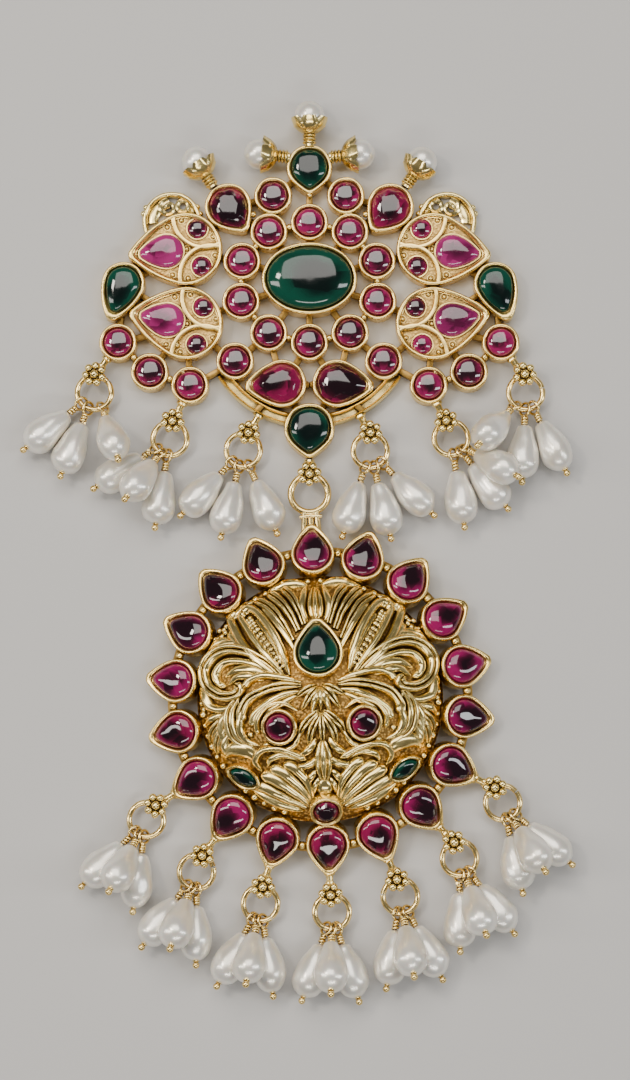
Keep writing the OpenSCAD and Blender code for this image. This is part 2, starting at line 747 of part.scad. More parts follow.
module drop_wire() {
    rotate([90, 0, 0]) torus(eye_r, eye_wire);
    rotate([0, 90, 0]) {
        translate([0, 0, eye_r]) cylinder(r = drill_r + 0.12, h = collar_l - drill_gap);
        cylinder_from(eye_r, eye_reach + pearl_l + ball_r, drill_r - drill_gap);
        translate([0, 0, eye_reach + pearl_l + ball_r + drill_gap]) sphere(ball_r, $fn = 24);
    }
}

module cylinder_from(a, b, r) {
    translate([0, 0, a]) cylinder(r = r, h = b - a, $fn = 24);
}

module drop_pearl() {
    r = pearl_d / 2;
    run = pearl_l - r - pearl_tip_r;
    lean = asin((r - pearl_tip_r) / run);
    rotate([0, 90, 0]) translate([0, 0, eye_reach + pearl_tip_r]) rotate_extrude() difference() {
        union() {
            circle(pearl_tip_r);
            translate([0, run]) circle(r);
            polygon([[0, 0], pearl_tip_r * [cos(lean), -sin(lean)],
                     [0, run] + r * [cos(lean), -sin(lean)], [0, run]]);
        }
        translate([drill_r - 2 * pearl_l, -pearl_l]) square([2 * pearl_l, 3 * pearl_l]);
    }
}

module plaque_jump_rings() {
    color(gold) for (i = [0:len(plaque_drops) - 1])
        jump_ring(hook_at(plaque_hooks[i]), plaque_drops[i]);
}

module pendant_jump_rings() {
    color(gold) for (i = [0:len(pendant_drops) - 1])
        jump_ring(pendant_ring_at(i), pendant_drops[i]);
}

module plaque_drop_wires() {
    color(gold) for (i = [0:len(plaque_drops) - 1])
        at_drops(hook_at(plaque_hooks[i]), plaque_drops[i]) drop_wire();
}

module pendant_drop_wires() {
    color(gold) for (i = [0:len(pendant_drops) - 1])
        at_drops(pendant_ring_at(i), pendant_drops[i]) drop_wire();
}

module plaque_pearls() {
    color(pearl) for (i = [0:len(plaque_drops) - 1])
        at_drops(hook_at(plaque_hooks[i]), plaque_drops[i]) drop_pearl();
}

module pendant_pearls() {
    color(pearl) for (i = [0:len(pendant_drops) - 1])
        at_drops(pendant_ring_at(i), pendant_drops[i]) drop_pearl();
}

plaque_setting();
pendant_setting();
centre_emerald();
pear_in(top_place, 1, top_w, top_l, emerald);  // top_emerald
pear_in(bottom_place, 1, bottom_w, bottom_l, emerald);  // bottom_emerald
pear_in(side_place, -1, side_w, side_l, emerald);  // side_emerald_left
pear_in(side_place, 1, side_w, side_l, emerald);  // side_emerald_right
pear_in(upper_place, -1, upper_w, upper_l, ruby);  // upper_ruby_left
pear_in(upper_place, 1, upper_w, upper_l, ruby);  // upper_ruby_right
pear_in(lower_place, -1, lower_w, lower_l, ruby);  // lower_ruby_left
pear_in(lower_place, 1, lower_w, lower_l, ruby);  // lower_ruby_right
leaf_ruby(upper_leaf, -1);  // leaf_ruby_upper_left
leaf_ruby(upper_leaf, 1);  // leaf_ruby_upper_right
leaf_ruby(lower_leaf, -1);  // leaf_ruby_lower_left
leaf_ruby(lower_leaf, 1);  // leaf_ruby_lower_right
round_rubies();
seed_rubies();
for (i = [1:petal_count])
    petal_ruby(i - 1);
dome_emerald();
dome_ruby(-1);  // dome_ruby_left
dome_ruby(1);  // dome_ruby_right
marquise_emerald(-1);  // marquise_emerald_left
marquise_emerald(1);  // marquise_emerald_right
low_ruby();
stud_pearls();
plaque_jump_rings();
pendant_jump_rings();
plaque_drop_wires();
pendant_drop_wires();
plaque_pearls();
pendant_pearls();
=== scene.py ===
import math
import random

import bmesh
import bpy
from mathutils import Matrix, Vector, noise


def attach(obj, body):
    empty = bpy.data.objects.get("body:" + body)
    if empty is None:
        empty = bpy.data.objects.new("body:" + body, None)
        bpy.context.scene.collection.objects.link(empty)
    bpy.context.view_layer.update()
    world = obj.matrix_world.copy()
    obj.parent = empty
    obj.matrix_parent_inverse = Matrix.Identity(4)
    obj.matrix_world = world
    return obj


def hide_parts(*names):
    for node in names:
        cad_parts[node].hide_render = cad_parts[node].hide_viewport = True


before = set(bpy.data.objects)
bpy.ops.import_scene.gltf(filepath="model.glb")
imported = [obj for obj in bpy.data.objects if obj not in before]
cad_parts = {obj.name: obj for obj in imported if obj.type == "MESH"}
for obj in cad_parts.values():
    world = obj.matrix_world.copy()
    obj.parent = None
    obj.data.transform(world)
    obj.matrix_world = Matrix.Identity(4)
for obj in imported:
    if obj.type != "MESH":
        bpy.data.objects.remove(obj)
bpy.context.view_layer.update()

random.seed(7)
noise.seed_set(7)
mm = 0.001  # pieces are modelled in millimetres and made metres when they are finished

# Places, shared by every piece.

plaque = {
    "width": 67.6,
    "backThickness": 1.0,
    "bezelTop": 3.0,
    "centreTop": 4.2,
    "wall": 0.72,
    "gap": 0.08,
    "barWidth": 1.05,
    "barHeight": 1.8,
    "centreStone": (13.8, 10.2),
    "roundStone": 4.5,
    "seedStone": 3.3,
}
roundPlaces = {  # right half, in hundredths of the plaque's width
    "flowerTop": (0, 13.9), "flowerBottom": (0, -15.1), "flowerHigh": (9.7, 11.6),
    "flowerEast": (16.1, 4.5), "flowerLowEast": (16.3, -5.2), "flowerLow": (9.7, -12.8),
    "outerTop": (8.7, 20.3), "crescentEnd": (17.7, -19.6), "edgeSide": (45.6, -15.1),
    "edgeLow": (38, -22.2), "edgeInner": (28.4, -25.4),
}
pearPlaces = {  # x, y, heading of the tip, width, length
    "top": (0, 27.2, -90, 5.8, 6.5), "bottom": (0, -35.7, -90, 6.5, 7.3),
    "side": (44.4, -0.9, -71, 5.4, 8.0), "upper": (19.4, 17.7, -126, 6.0, 7.2),
    "lower": (6.5, -25, -5, 6.2, 8.2),
}
leafPlaces = {"upper": (29.6, 7.4, -6.6), "lower": (29.4, -10.5, 10)}  # x, y, heading of the tip
crescent = {"centre": (0, -9.7), "radius": 17.4, "width": 2.1, "from": -148}
hook = {"stem": 2.3, "stemRadius": 0.6, "loop": 1.15, "loopWire": 0.35, "bead": 0.64, "beads": 7}
ring = {"height": 1.75, "radius": 2.75, "wire": 0.45}
link = {"radius": 3.0, "wire": 0.55, "stem": 1.3}
pendant = {
    "drop": 33, "turn": 3, "domeRadius": 19.2, "domeRise": 7.0, "foot": 3.6, "domeWall": 1.1,
    "petals": 18, "petal": (5.4, 7.0), "petalTilt": 20, "petalTop": 2.4, "firstHooked": 6,
}
# for each ring its heading from the hook, then every drop's place on it, heading, and 1 if it perches
plaqueDrops = [
    (-92, [(-140, -140, 0), (-111, -111, 0), (-60, -72, 1)]),
    (-100, [(-146, -146, 0), (-99, -99, 0), (-123, -123, 1)]),
    (-108, [(-133, -133, 0), (-104, -104, 0), (-68, -68, 0)]),
    (-90, [(-108, -108, 0), (-77, -77, 0), (-46, -46, 0)]),
    (-72, [(-82, -82, 0), (-52, -52, 0), (-34, -34, 1)]),
    (-84, [(-131, -131, 1), (-93, -93, 0), (-64, -64, 0)]),
]
pendantDrops = [
    (-60, [(-78, -78, 0), (-60, -60, 1), (-42, -42, 0)]),
    (-70, [(-90, -90, 0), (-72, -72, 1), (-54, -54, 0)]),
    (-78, [(-99, -99, 0), (-81, -81, 1), (-63, -63, 0)]),
    (-85, [(-109, -109, 0), (-91, -91, 1), (-73, -73, 0)]),
    (-98, [(-118, -118, 0), (-100, -100, 1), (-82, -82, 0)]),
    (-110, [(-126, -126, 0), (-108, -108, 1), (-90, -90, 0)]),
    (-125, [(-134, -134, 0), (-116, -116, 1), (-98, -98, 0)]),
]


def share(value):
    return value * plaque["width"] / 100


def polar(radius, degrees):
    a = math.radians(degrees)
    return Vector((radius * math.cos(a), radius * math.sin(a), 0))


def turned(degrees, axis="Z"):
    return Matrix.Rotation(math.radians(degrees), 4, axis)


def moved(x, y, z=0.0):
    return Matrix.Translation((x, y, z))


def onPlaque(place, z=0.0, side=1):
    flip = Matrix.Diagonal((side, 1, 1, 1))
    heading = place[2] if len(place) > 2 else 0
    return flip @ moved(share(place[0]), share(place[1]), z) @ turned(heading)


def placesOn(places, side):
    # the places of one side; those on the middle line come with the right
    return [place for place in places.values() if side > 0 or place[0] != 0]


def pearTip(width, length, radius):
    # how far a pear's tip reaches once its round end has grown to a radius
    return (length - width / 2) * radius / (width / 2)


wallOut = plaque["gap"] + plaque["wall"]
roundOut = plaque["roundStone"] / 2 + wallOut
edge = roundPlaces["edgeSide"]
inner = roundPlaces["edgeInner"]
plaqueHooks = [
    (-edge[0], edge[1], -125, roundOut), (-inner[0], inner[1], -115, roundOut),
    (0, crescent["centre"][1], -118, crescent["radius"]),
    (0, crescent["centre"][1], -62, crescent["radius"]),
    (inner[0], inner[1], -65, roundOut), (edge[0], edge[1], -55, roundOut),
]
petalW, petalL = pendant["petal"]
petalOut = petalW / 2 + wallOut
petalTip = pearTip(petalW, petalL, petalOut)
petalCos = math.cos(math.radians(pendant["petalTilt"]))
petalRing = pendant["domeRadius"] + petalOut * petalCos - 0.1
petalZ = petalTip * math.sin(math.radians(pendant["petalTilt"]))
sphereR = (pendant["domeRadius"] ** 2 + pendant["domeRise"] ** 2) / (2 * pendant["domeRise"])
sphereZ = pendant["foot"] + pendant["domeRise"] - sphereR
bottomPlace = pearPlaces["bottom"]
bottomOut = bottomPlace[3] / 2 + wallOut
bottomTip = pearTip(bottomPlace[3], bottomPlace[4], bottomOut)
linkLoopY = share(bottomPlace[1]) - bottomTip - link["stem"] - hook["loop"]
linkY = linkLoopY - link["radius"]
layPendant = moved(0, linkY) @ turned(pendant["turn"]) @ moved(0, -pendant["drop"])


def hookPlace(h):
    reach = h[3] + hook["stem"] + hook["loop"]
    return Vector((share(h[0]), share(h[1]), 0)) + polar(reach, h[2])


def petalAngle(i):
    return 90 - 360 / pendant["petals"] * i


def pendantHook(i):
    reach = petalRing + petalTip * petalCos + hook["stem"] + hook["loop"]
    return polar(reach, petalAngle(pendant["firstHooked"] + i))


def atPetal(i):
    return (layPendant @ turned(petalAngle(i)) @ moved(petalRing, 0, petalZ)
            @ turned(pendant["petalTilt"], "Y"))


def onDome(x, y, side=1):
    x, y = x * pendant["domeRadius"], y * pendant["domeRadius"]
    flip = Matrix.Diagonal((side, 1, 1, 1))
    return (layPendant @ flip @ moved(0, 0, sphereZ) @ Matrix.Rotation(math.asin(x / sphereR), 4, "Y")
            @ Matrix.Rotation(-math.asin(y / sphereR), 4, "X") @ moved(0, 0, sphereR))


def domePoint(x, y, lift):  # x and y in shares of the dome's radius
    x, y = x * pendant["domeRadius"], y * pendant["domeRadius"]
    out = Vector((x, y, math.sqrt(max(sphereR ** 2 - x * x - y * y, 1))))
    return Vector((0, 0, sphereZ)) + out.normalized() * (sphereR + lift)


# Materials.

def newMaterial(name):
    mat = bpy.data.materials.new(name)
    mat.use_nodes = True
    return mat, mat.node_tree.nodes, mat.node_tree.links, mat.node_tree.nodes["Principled BSDF"]


def newGroup(name, inputs, outputs):
    group = bpy.data.node_groups.new(name, "ShaderNodeTree")
    for label, kind, value in inputs:
        socket = group.interface.new_socket(label, in_out="INPUT", socket_type=kind)
        socket.default_value = value
    for label, kind in outputs:
        group.interface.new_socket(label, in_out="OUTPUT", socket_type=kind)
    start = group.nodes.new("NodeGroupInput")
    end = group.nodes.new("NodeGroupOutput")
    return group, group.nodes, group.links, start, end


def feed(links, socket, value):
    # sets a number or a colour on the socket, and links anything else to it
    if isinstance(value, (int, float)):
        socket.default_value = value
    elif isinstance(value, tuple):
        socket.default_value = (*value, 1)
    else:
        links.new(value, socket)


def mathNode(nodes, links, operation, a, b, clamp=False):
    node = nodes.new("ShaderNodeMath")
    node.operation = operation
    node.use_clamp = clamp
    feed(links, node.inputs[0], a)
    feed(links, node.inputs[1], b)
    return node.outputs[0]


def mixColour(nodes, links, factor, a, b):
    node = nodes.new("ShaderNodeMix")
    node.data_type = "RGBA"
    for i, value in ((0, factor), (6, a), (7, b)):
        feed(links, node.inputs[i], value)
    return node.outputs[2]


def mapRange(nodes, links, value, low, high, toLow=0.0, toHigh=1.0, smooth=False):
    node = nodes.new("ShaderNodeMapRange")
    node.interpolation_type = "SMOOTHSTEP" if smooth else "LINEAR"
    for label, number in (("From Min", low), ("From Max", high), ("To Min", toLow), ("To Max", toHigh)):
        node.inputs[label].default_value = number
    links.new(value, node.inputs["Value"])
    return node.outputs["Result"]


def noiseTexture(nodes, links, place, scale, detail, seed=None):
    node = nodes.new("ShaderNodeTexNoise")
    if seed is not None:
        node.noise_dimensions = "4D"
        links.new(seed, node.inputs["W"])
    node.inputs["Detail"].default_value = detail
    feed(links, node.inputs["Scale"], scale)
    links.new(place, node.inputs["Vector"])
    return node.outputs["Fac"]


def addBump(nodes, links, shader, height, strength, distance):
    bump = nodes.new("ShaderNodeBump")
    bump.inputs["Strength"].default_value = strength
    bump.inputs["Distance"].default_value = distance
    links.new(height, bump.inputs["Height"])
    links.new(bump.outputs["Normal"], shader.inputs["Normal"])


def makeCastSurface():
    # painted shade in the recesses, worn edges lightened partly as painted highlights, and the fine grain
    # of cast and plated metal
    group, nodes, links, start, end = newGroup(
        "castSurface",
        [("Shade Reach", "NodeSocketFloat", 0.0009), ("Grain Scale", "NodeSocketFloat", 2600.0),
         ("Grain Depth", "NodeSocketFloat", 0.4), ("Pebble Scale", "NodeSocketFloat", 2300.0)],
        [("Painted Shade", "NodeSocketFloat"), ("Wear And Highlight", "NodeSocketFloat"), ("Grain", "NodeSocketFloat"),
         ("Mottle", "NodeSocketFloat"), ("Pebble", "NodeSocketFloat")])
    place = nodes.new("ShaderNodeTexCoord").outputs["Object"]
    # ambient occlusion made into a mask of painted shade for the recesses
    shade = nodes.new("ShaderNodeAmbientOcclusion")
    shade.samples = 4
    links.new(start.outputs["Shade Reach"], shade.inputs["Distance"])
    links.new(mapRange(nodes, links, shade.outputs["AO"], 0.80, 0.30), end.inputs["Painted Shade"])
    geometry = nodes.new("ShaderNodeNewGeometry")
    # pointy edges lightened: partly wear, partly a painted highlight
    links.new(mapRange(nodes, links, geometry.outputs["Pointiness"], 0.5, 0.62), end.inputs["Wear And Highlight"])
    fine = noiseTexture(nodes, links, place, start.outputs["Grain Scale"], 4)
    links.new(mathNode(nodes, links, "MULTIPLY", fine, start.outputs["Grain Depth"]), end.inputs["Grain"])
    links.new(noiseTexture(nodes, links, place, 420, 3), end.inputs["Mottle"])
    pebbles = nodes.new("ShaderNodeTexVoronoi")
    links.new(place, pebbles.inputs["Vector"])
    links.new(start.outputs["Pebble Scale"], pebbles.inputs["Scale"])
    valley = mapRange(nodes, links, pebbles.outputs["Distance"], 0.25, 0.65, smooth=True)
    links.new(valley, end.inputs["Pebble"])
    return group


goldLooks = {  # the darkest tone is painted shade, laid into the recesses and the pebbles' hollows; pebble: how deep the stippled ground between the ornaments is
    "castRims": {"bright": (1.0, 0.76, 0.28), "mid": (0.97, 0.62, 0.15), "paintedShade": (0.18, 0.065, 0.010),
                 "rough": (0.17, 0.33), "grain": 2600, "bump": 0.12, "reach": 0.0006, "pebble": 0},
    "castRelief": {"bright": (1.0, 0.82, 0.36), "mid": (1.0, 0.71, 0.22), "paintedShade": (0.07, 0.022, 0.003),
                   "rough": (0.14, 0.28), "grain": 2200, "bump": 0.12, "reach": 0.0008, "pebble": 0},
    "brightWire": {"bright": (1.0, 0.77, 0.32), "mid": (0.94, 0.62, 0.18), "paintedShade": (0.14, 0.05, 0.01),
                   "rough": (0.12, 0.26), "grain": 3000, "bump": 0.05, "reach": 0.0005, "pebble": 0},
    # webGold, leafGold and punchedGold are darker copies of the gold for the web behind the bezels, the
    # hoop under the petals and the sunken grounds: painted shade
    "webGold": {"bright": (0.55, 0.34, 0.09), "mid": (0.30, 0.17, 0.04), "paintedShade": (0.03, 0.01, 0.002),
                "rough": (0.34, 0.52), "grain": 2000, "bump": 0.2, "reach": 0.0016, "pebble": 0},
    "leafGold": {"bright": (0.82, 0.53, 0.17), "mid": (0.58, 0.34, 0.085), "paintedShade": (0.05, 0.015, 0.002),
                 "rough": (0.26, 0.42), "grain": 1500, "bump": 0.45, "reach": 0.0014, "pebble": 0.55},
    "punchedGold": {"bright": (0.80, 0.50, 0.15), "mid": (0.48, 0.26, 0.06), "paintedShade": (0.05, 0.015, 0.002),
                    "rough": (0.30, 0.48), "grain": 1500, "bump": 0.6, "reach": 0.0011, "pebble": 1},
}


def makeGold(name, surface):
    look = goldLooks[name]
    mat, nodes, links, shader = newMaterial(name)
    cast = nodes.new("ShaderNodeGroup")
    cast.node_tree = surface
    cast.inputs["Shade Reach"].default_value = look["reach"]
    cast.inputs["Grain Scale"].default_value = look["grain"]
    tone = mixColour(nodes, links, cast.outputs["Mottle"], look["mid"], look["bright"])
    # edges lifted to the bright tone: partly wear, partly a painted highlight
    wornLitAndShaded = mixColour(nodes, links, cast.outputs["Wear And Highlight"], tone, look["bright"])
    height = cast.outputs["Grain"]
    if look["pebble"]:
        # the pebbles' hollows are darkened with painted shade as well as sunk by the bump
        valley = mathNode(nodes, links, "MULTIPLY", cast.outputs["Pebble"], look["pebble"])
        wornLitAndShaded = mixColour(nodes, links, mathNode(nodes, links, "MULTIPLY", valley, 0.7), wornLitAndShaded, look["paintedShade"])
        height = mathNode(nodes, links, "SUBTRACT", height, valley)
    # the recesses are darkened with painted shade
    links.new(mixColour(nodes, links, cast.outputs["Painted Shade"], wornLitAndShaded, look["paintedShade"]),
              shader.inputs["Base Color"])
    rough = mapRange(nodes, links, cast.outputs["Mottle"], 0.3, 0.7, *look["rough"])
    dull = mathNode(nodes, links, "MULTIPLY", cast.outputs["Painted Shade"], 0.3)
    links.new(mathNode(nodes, links, "ADD", rough, dull, True), shader.inputs["Roughness"])
    shader.inputs["Metallic"].default_value = 1.0
    addBump(nodes, links, shader, height, look["bump"], 0.0001)
    return mat


def makeStoneDepth():
    # painted light that comes back out of a foiled stone: a dark middle, bright painted glints and a
    # bright painted rim
    group, nodes, links, start, end = newGroup(
        "paintedStoneLight",
        [("Glint Scale", "NodeSocketFloat", 4.0)], [("Painted Glow", "NodeSocketFloat")])
    plan = nodes.new("ShaderNodeTexCoord").outputs["UV"]
    seed = nodes.new("ShaderNodeAttribute")
    seed.attribute_name = "stoneSeed"
    seed = seed.outputs["Fac"]
    fromMiddle = nodes.new("ShaderNodeVectorMath")
    fromMiddle.operation = "SUBTRACT"
    fromMiddle.inputs[1].default_value = (0.5, 0.5, 0)
    links.new(plan, fromMiddle.inputs[0])
    far = nodes.new("ShaderNodeVectorMath")
    far.operation = "LENGTH"
    links.new(fromMiddle.outputs["Vector"], far.inputs[0])
    cells = nodes.new("ShaderNodeTexVoronoi")
    cells.voronoi_dimensions = "4D"
    cells.inputs["Randomness"].default_value = 0.85
    links.new(plan, cells.inputs["Vector"])
    links.new(seed, cells.inputs["W"])
    links.new(start.outputs["Glint Scale"], cells.inputs["Scale"])
    glints = nodes.new("ShaderNodeSeparateColor")
    links.new(cells.outputs["Color"], glints.inputs[0])
    swirl = noiseTexture(nodes, links, plan, 2.2, 1.5, seed)
    lot = nodes.new("ShaderNodeTexWhiteNoise")  # some stones are lighter than others
    lot.noise_dimensions = "1D"
    links.new(seed, lot.inputs["W"])
    # the painted glow brightens from the middle out to the rim, with painted glints and random swirls
    bent = mathNode(nodes, links, "MULTIPLY", far.outputs["Value"], 2)
    for value, amount in ((swirl, 0.9), (glints.outputs[0], 0.35), (lot.outputs["Value"], 0.45)):
        offset = mathNode(nodes, links, "SUBTRACT", value, 0.5)
        bent = mathNode(nodes, links, "ADD", bent, mathNode(nodes, links, "MULTIPLY", offset, amount))
    links.new(mapRange(nodes, links, bent, 0.28, 1.05, smooth=True), end.inputs["Painted Glow"])
    return group


stoneLooks = {  # dark, mid and light run the painted glow from a stone's dark middle to its bright rim and glints; gloss: refraction and how much clear coat lies over it
    "rubyDeep": {"dark": (0.016, 0.0, 0.004), "mid": (0.10, 0.001, 0.024), "light": (0.29, 0.005, 0.085),
                 "glintScale": 4.5, "rough": 0.06, "gloss": (1.75, 0.5)},
    "rubyDark": {"dark": (0.007, 0.0, 0.002), "mid": (0.045, 0.0005, 0.01), "light": (0.23, 0.003, 0.055),
                 "glintScale": 4.5, "rough": 0.05, "gloss": (1.6, 0.35)},
    "rubyRose": {"dark": (0.009, 0.0, 0.003), "mid": (0.06, 0.0006, 0.017), "light": (0.26, 0.0035, 0.08),
                 "glintScale": 3.4, "rough": 0.05, "gloss": (1.6, 0.35)},
    "rubyPale": {"dark": (0.06, 0.001, 0.022), "mid": (0.17, 0.005, 0.065), "light": (0.35, 0.022, 0.15),
                 "glintScale": 4.0, "rough": 0.08, "gloss": (1.65, 0.4)},
    "emeraldGlass": {"dark": (0, 0.004, 0.003), "mid": (0, 0.012, 0.008), "light": (0.001, 0.055, 0.032),
                     "glintScale": 2.4, "rough": 0.09, "gloss": (1.5, 0.25)},
}


def makeStone(name, paintedLightGroup):
    look = stoneLooks[name]
    mat, nodes, links, shader = newMaterial(name)
    inside = nodes.new("ShaderNodeGroup")
    inside.node_tree = paintedLightGroup
    inside.inputs["Glint Scale"].default_value = look["glintScale"]
    ramp = nodes.new("ShaderNodeValToRGB")
    ramp.color_ramp.elements[0].color = (*look["dark"], 1)
    ramp.color_ramp.elements[1].color = (*look["light"], 1)
    middle = ramp.color_ramp.elements.new(0.45)
    middle.color = (*look["mid"], 1)
    # the ramp paints the stone's glow and glints into its base colour
    links.new(inside.outputs["Painted Glow"], ramp.inputs["Fac"])
    links.new(ramp.outputs["Color"], shader.inputs["Base Color"])
    shader.inputs["Roughness"].default_value = look["rough"]
    shader.inputs["IOR"].default_value, shader.inputs["Coat Weight"].default_value = look["gloss"]
    shader.inputs["Coat Roughness"].default_value = 0.03
    return mat


def makePearl():
    mat, nodes, links, shader = newMaterial("pearlNacre")
    clouds = noiseTexture(nodes, links, nodes.new("ShaderNodeTexCoord").outputs["Object"], 260, 3)
    ramp = nodes.new("ShaderNodeValToRGB")
    for element, position, tone in zip(ramp.color_ramp.elements, (0.3, 0.7),
                                       ((0.80, 0.75, 0.64, 1), (0.96, 0.93, 0.86, 1))):
        element.position = position
        element.color = tone
    links.new(clouds, ramp.inputs["Fac"])
    links.new(ramp.outputs["Color"], shader.inputs["Base Color"])
    shader.inputs["Metallic"].default_value = 0.5  # the sheen of nacre: bright where it faces the light
    for label, value in (("Roughness", 0.30), ("IOR", 1.6), ("Subsurface Weight", 0.12),
                         ("Subsurface Scale", 0.001), ("Coat Weight", 0.7), ("Coat Roughness", 0.08)):
        shader.inputs[label].default_value = value
    addBump(nodes, links, shader, clouds, 0.12, 0.0003)
    return mat


castSurface = makeCastSurface()
paintedStoneLight = makeStoneDepth()
materials = {name: makeGold(name, castSurface) for name in goldLooks}
materials.update({name: makeStone(name, paintedStoneLight) for name in stoneLooks})
materials["pearlNacre"] = makePearl()
print("materials made:", len(materials))


# Modelling helpers.

def roundOutline(diameter, grow=0.0, points=30):
    return [polar(diameter / 2 + grow, 360 * i / points) for i in range(points)]


def ovalOutline(length, width, grow=0.0, points=60):
    return [Vector(((length / 2 + grow) * math.cos(2 * math.pi * i / points),
                    (width / 2 + grow) * math.sin(2 * math.pi * i / points), 0)) for i in range(points)]


def pearOutline(width, length, grow=0.0, arc=24, flank=7):
    # a round end, two bowed flanks and a slightly softened tip on +X
    r = width / 2 + grow
    tip = pearTip(width, length, r)
    bow = 3.0  # radius of the flanks as a share of the round end's
    a = math.degrees(math.acos(((2 * bow - 1) * r * r - tip * tip) / (2 * tip * (bow - 1) * r)))
    centre = -polar((bow - 1) * r, a)
    start = math.degrees(math.atan2(-centre.y, tip - centre.x))
    upper = [centre + polar(bow * r, start + (a - start) * i / flank) for i in range(1, flank)]
    lower = [Vector((p.x, -p.y, 0)) for p in reversed(upper)]
    roundEnd = [polar(r, a + (360 - 2 * a) * i / arc) for i in range(arc + 1)]
    out = [Vector((tip, 0, 0))] + upper + roundEnd + lower
    for i in range(2):  # softens the tip
        out[0] = out[0] / 2 + (out[1] + out[-1]) / 4
    return out


def almondOutline(length, width, grow=0.0, points=14):
    length, width = length + 3.2 * grow, width + 2 * grow  # the points grow further than the sides
    r = (length ** 2 / 4 + width ** 2 / 4) / width
    half = math.degrees(math.asin(length / 2 / r))
    arc = [polar(r, 90 + half - 2 * half * i / points) - Vector((0, r - width / 2, 0))
           for i in range(points + 1)]
    arc.reverse()
    return arc + [-p for p in arc][1:-1]


def raisedBlock(bm, outline, low, high):
    # a closed prism on an outline
    verts = [bm.verts.new((p.x, p.y, low)) for p in outline]
    grown = bmesh.ops.extrude_face_region(bm, geom=[bm.faces.new(verts)])["geom"]
    lifted = [g for g in grown if isinstance(g, bmesh.types.BMVert)]
    bmesh.ops.translate(bm, verts=lifted, vec=(0, 0, high - low))


def skinOutlines(bm, shape, levels):
    # skins a form through one outline after another; each level is (grow, height)
    loops = []
    for grow, height in levels:
        verts = [bm.verts.new((p.x, p.y, height)) for p in shape(grow)]
        loops.append([bm.edges.new(pair) for pair in zip(verts, verts[1:] + verts[:1])])
    for lower, upper in zip(loops, loops[1:]):
        bmesh.ops.bridge_loops(bm, edges=lower + upper)
    for loop in (loops[0], loops[-1]):
        bmesh.ops.holes_fill(bm, edges=loop, sides=0)


def addPart(bm, build, matrix):
    # builds one part in its own mesh, lays it in place and adds it to the piece
    part = bmesh.new()
    build(part)
    bmesh.ops.recalc_face_normals(part, faces=part.faces)
    part.transform(matrix)
    if matrix.determinant() < 0:
        bmesh.ops.reverse_faces(part, faces=part.faces)
    mesh = bpy.data.meshes.new("part")
    part.to_mesh(mesh)
    part.free()
    bm.from_mesh(mesh)
    bpy.data.meshes.remove(mesh)


def addStrands(bm, strands, roundness=2, matrix=Matrix.Identity(4)):
    # wires and ribs: each strand is (points, radii or one radius, closed)
    curve = bpy.data.curves.new("strand", "CURVE")
    curve.dimensions = "3D"
    curve.bevel_depth = 1.0
    curve.bevel_resolution = roundness
    curve.use_fill_caps = True
    for points, radii, closed in strands:
        spline = curve.splines.new("POLY")
        spline.points.add(len(points) - 1)
        for i, p in enumerate(points):
            spline.points[i].co = (*p, 1)
            spline.points[i].radius = radii if isinstance(radii, (int, float)) else radii[i]
        spline.use_cyclic_u = closed
    holder = bpy.data.objects.new("strand", curve)
    mesh = bpy.data.meshes.new_from_object(holder)
    mesh.transform(matrix)
    bm.from_mesh(mesh)
    bpy.data.objects.remove(holder)
    bpy.data.curves.remove(curve)
    bpy.data.meshes.remove(mesh)


def addArc(bm, centre, radius, start, end, section, matrix=Matrix.Identity(4), steps=60):
    # a band with the cross-section given as (out, up), run round a centre
    def build(part):
        verts = [part.verts.new(turned(start) @ Vector((radius + x, 0, z))) for x, z in section]
        bmesh.ops.spin(part, geom=verts + [part.faces.new(verts)], cent=(0, 0, 0), axis=(0, 0, 1),
                       dvec=(0, 0, 0), angle=math.radians(end - start), steps=steps, use_merge=False)
    addPart(bm, build, matrix @ moved(centre[0], centre[1]))


def addTurned(bm, profile, steps=32, matrix=Matrix.Identity(4)):
    # spins a profile, given as (out, up), about the upright axis
    def build(part):
        verts = [part.verts.new((x, 0, z)) for x, z in profile]
        edges = [part.edges.new(pair) for pair in zip(verts, verts[1:])]
        bmesh.ops.spin(part, geom=verts + edges, cent=(0, 0, 0), axis=(0, 0, 1), dvec=(0, 0, 0),
                       angle=2 * math.pi, steps=steps, use_merge=True)
        bmesh.ops.remove_doubles(part, verts=part.verts, dist=0.0005)
    addPart(bm, build, matrix)


def addBall(bm, place, radius, detail=2, matrix=Matrix.Identity(4)):
    bmesh.ops.create_icosphere(bm, subdivisions=detail, radius=radius,
                               matrix=matrix @ Matrix.Translation(place))


def circlePath(radius, start=0.0, end=360.0, points=40, z=0.0):
    count = points if end - start >= 360 else points + 1
    return [polar(radius, start + (end - start) * i / points) + Vector((0, 0, z)) for i in range(count)]


def smoothPath(points, count):
    # an even curve through a few places
    points = [Vector((*p, 0)) if len(p) == 2 else Vector(p) for p in points]
    points = [points[0] * 2 - points[1]] + points + [points[-1] * 2 - points[-2]]
    spans = len(points) - 3
    out = []
    for i in range(count + 1):
        s = min(i / count * spans, spans - 1e-6)
        k, t = int(s), s - int(s)
        a, b, c, d = points[k:k + 4]
        out.append(0.5 * (2 * b + (c - a) * t + (2 * a - 5 * b + 4 * c - d) * t * t
                          + (3 * b - a - 3 * c + d) * t ** 3))
    return out


def unevenly(bm, amount, size):
    # the slight unevenness of hand work
    for v in bm.verts:
        v.co += noise.noise_vector(v.co / size) * amount


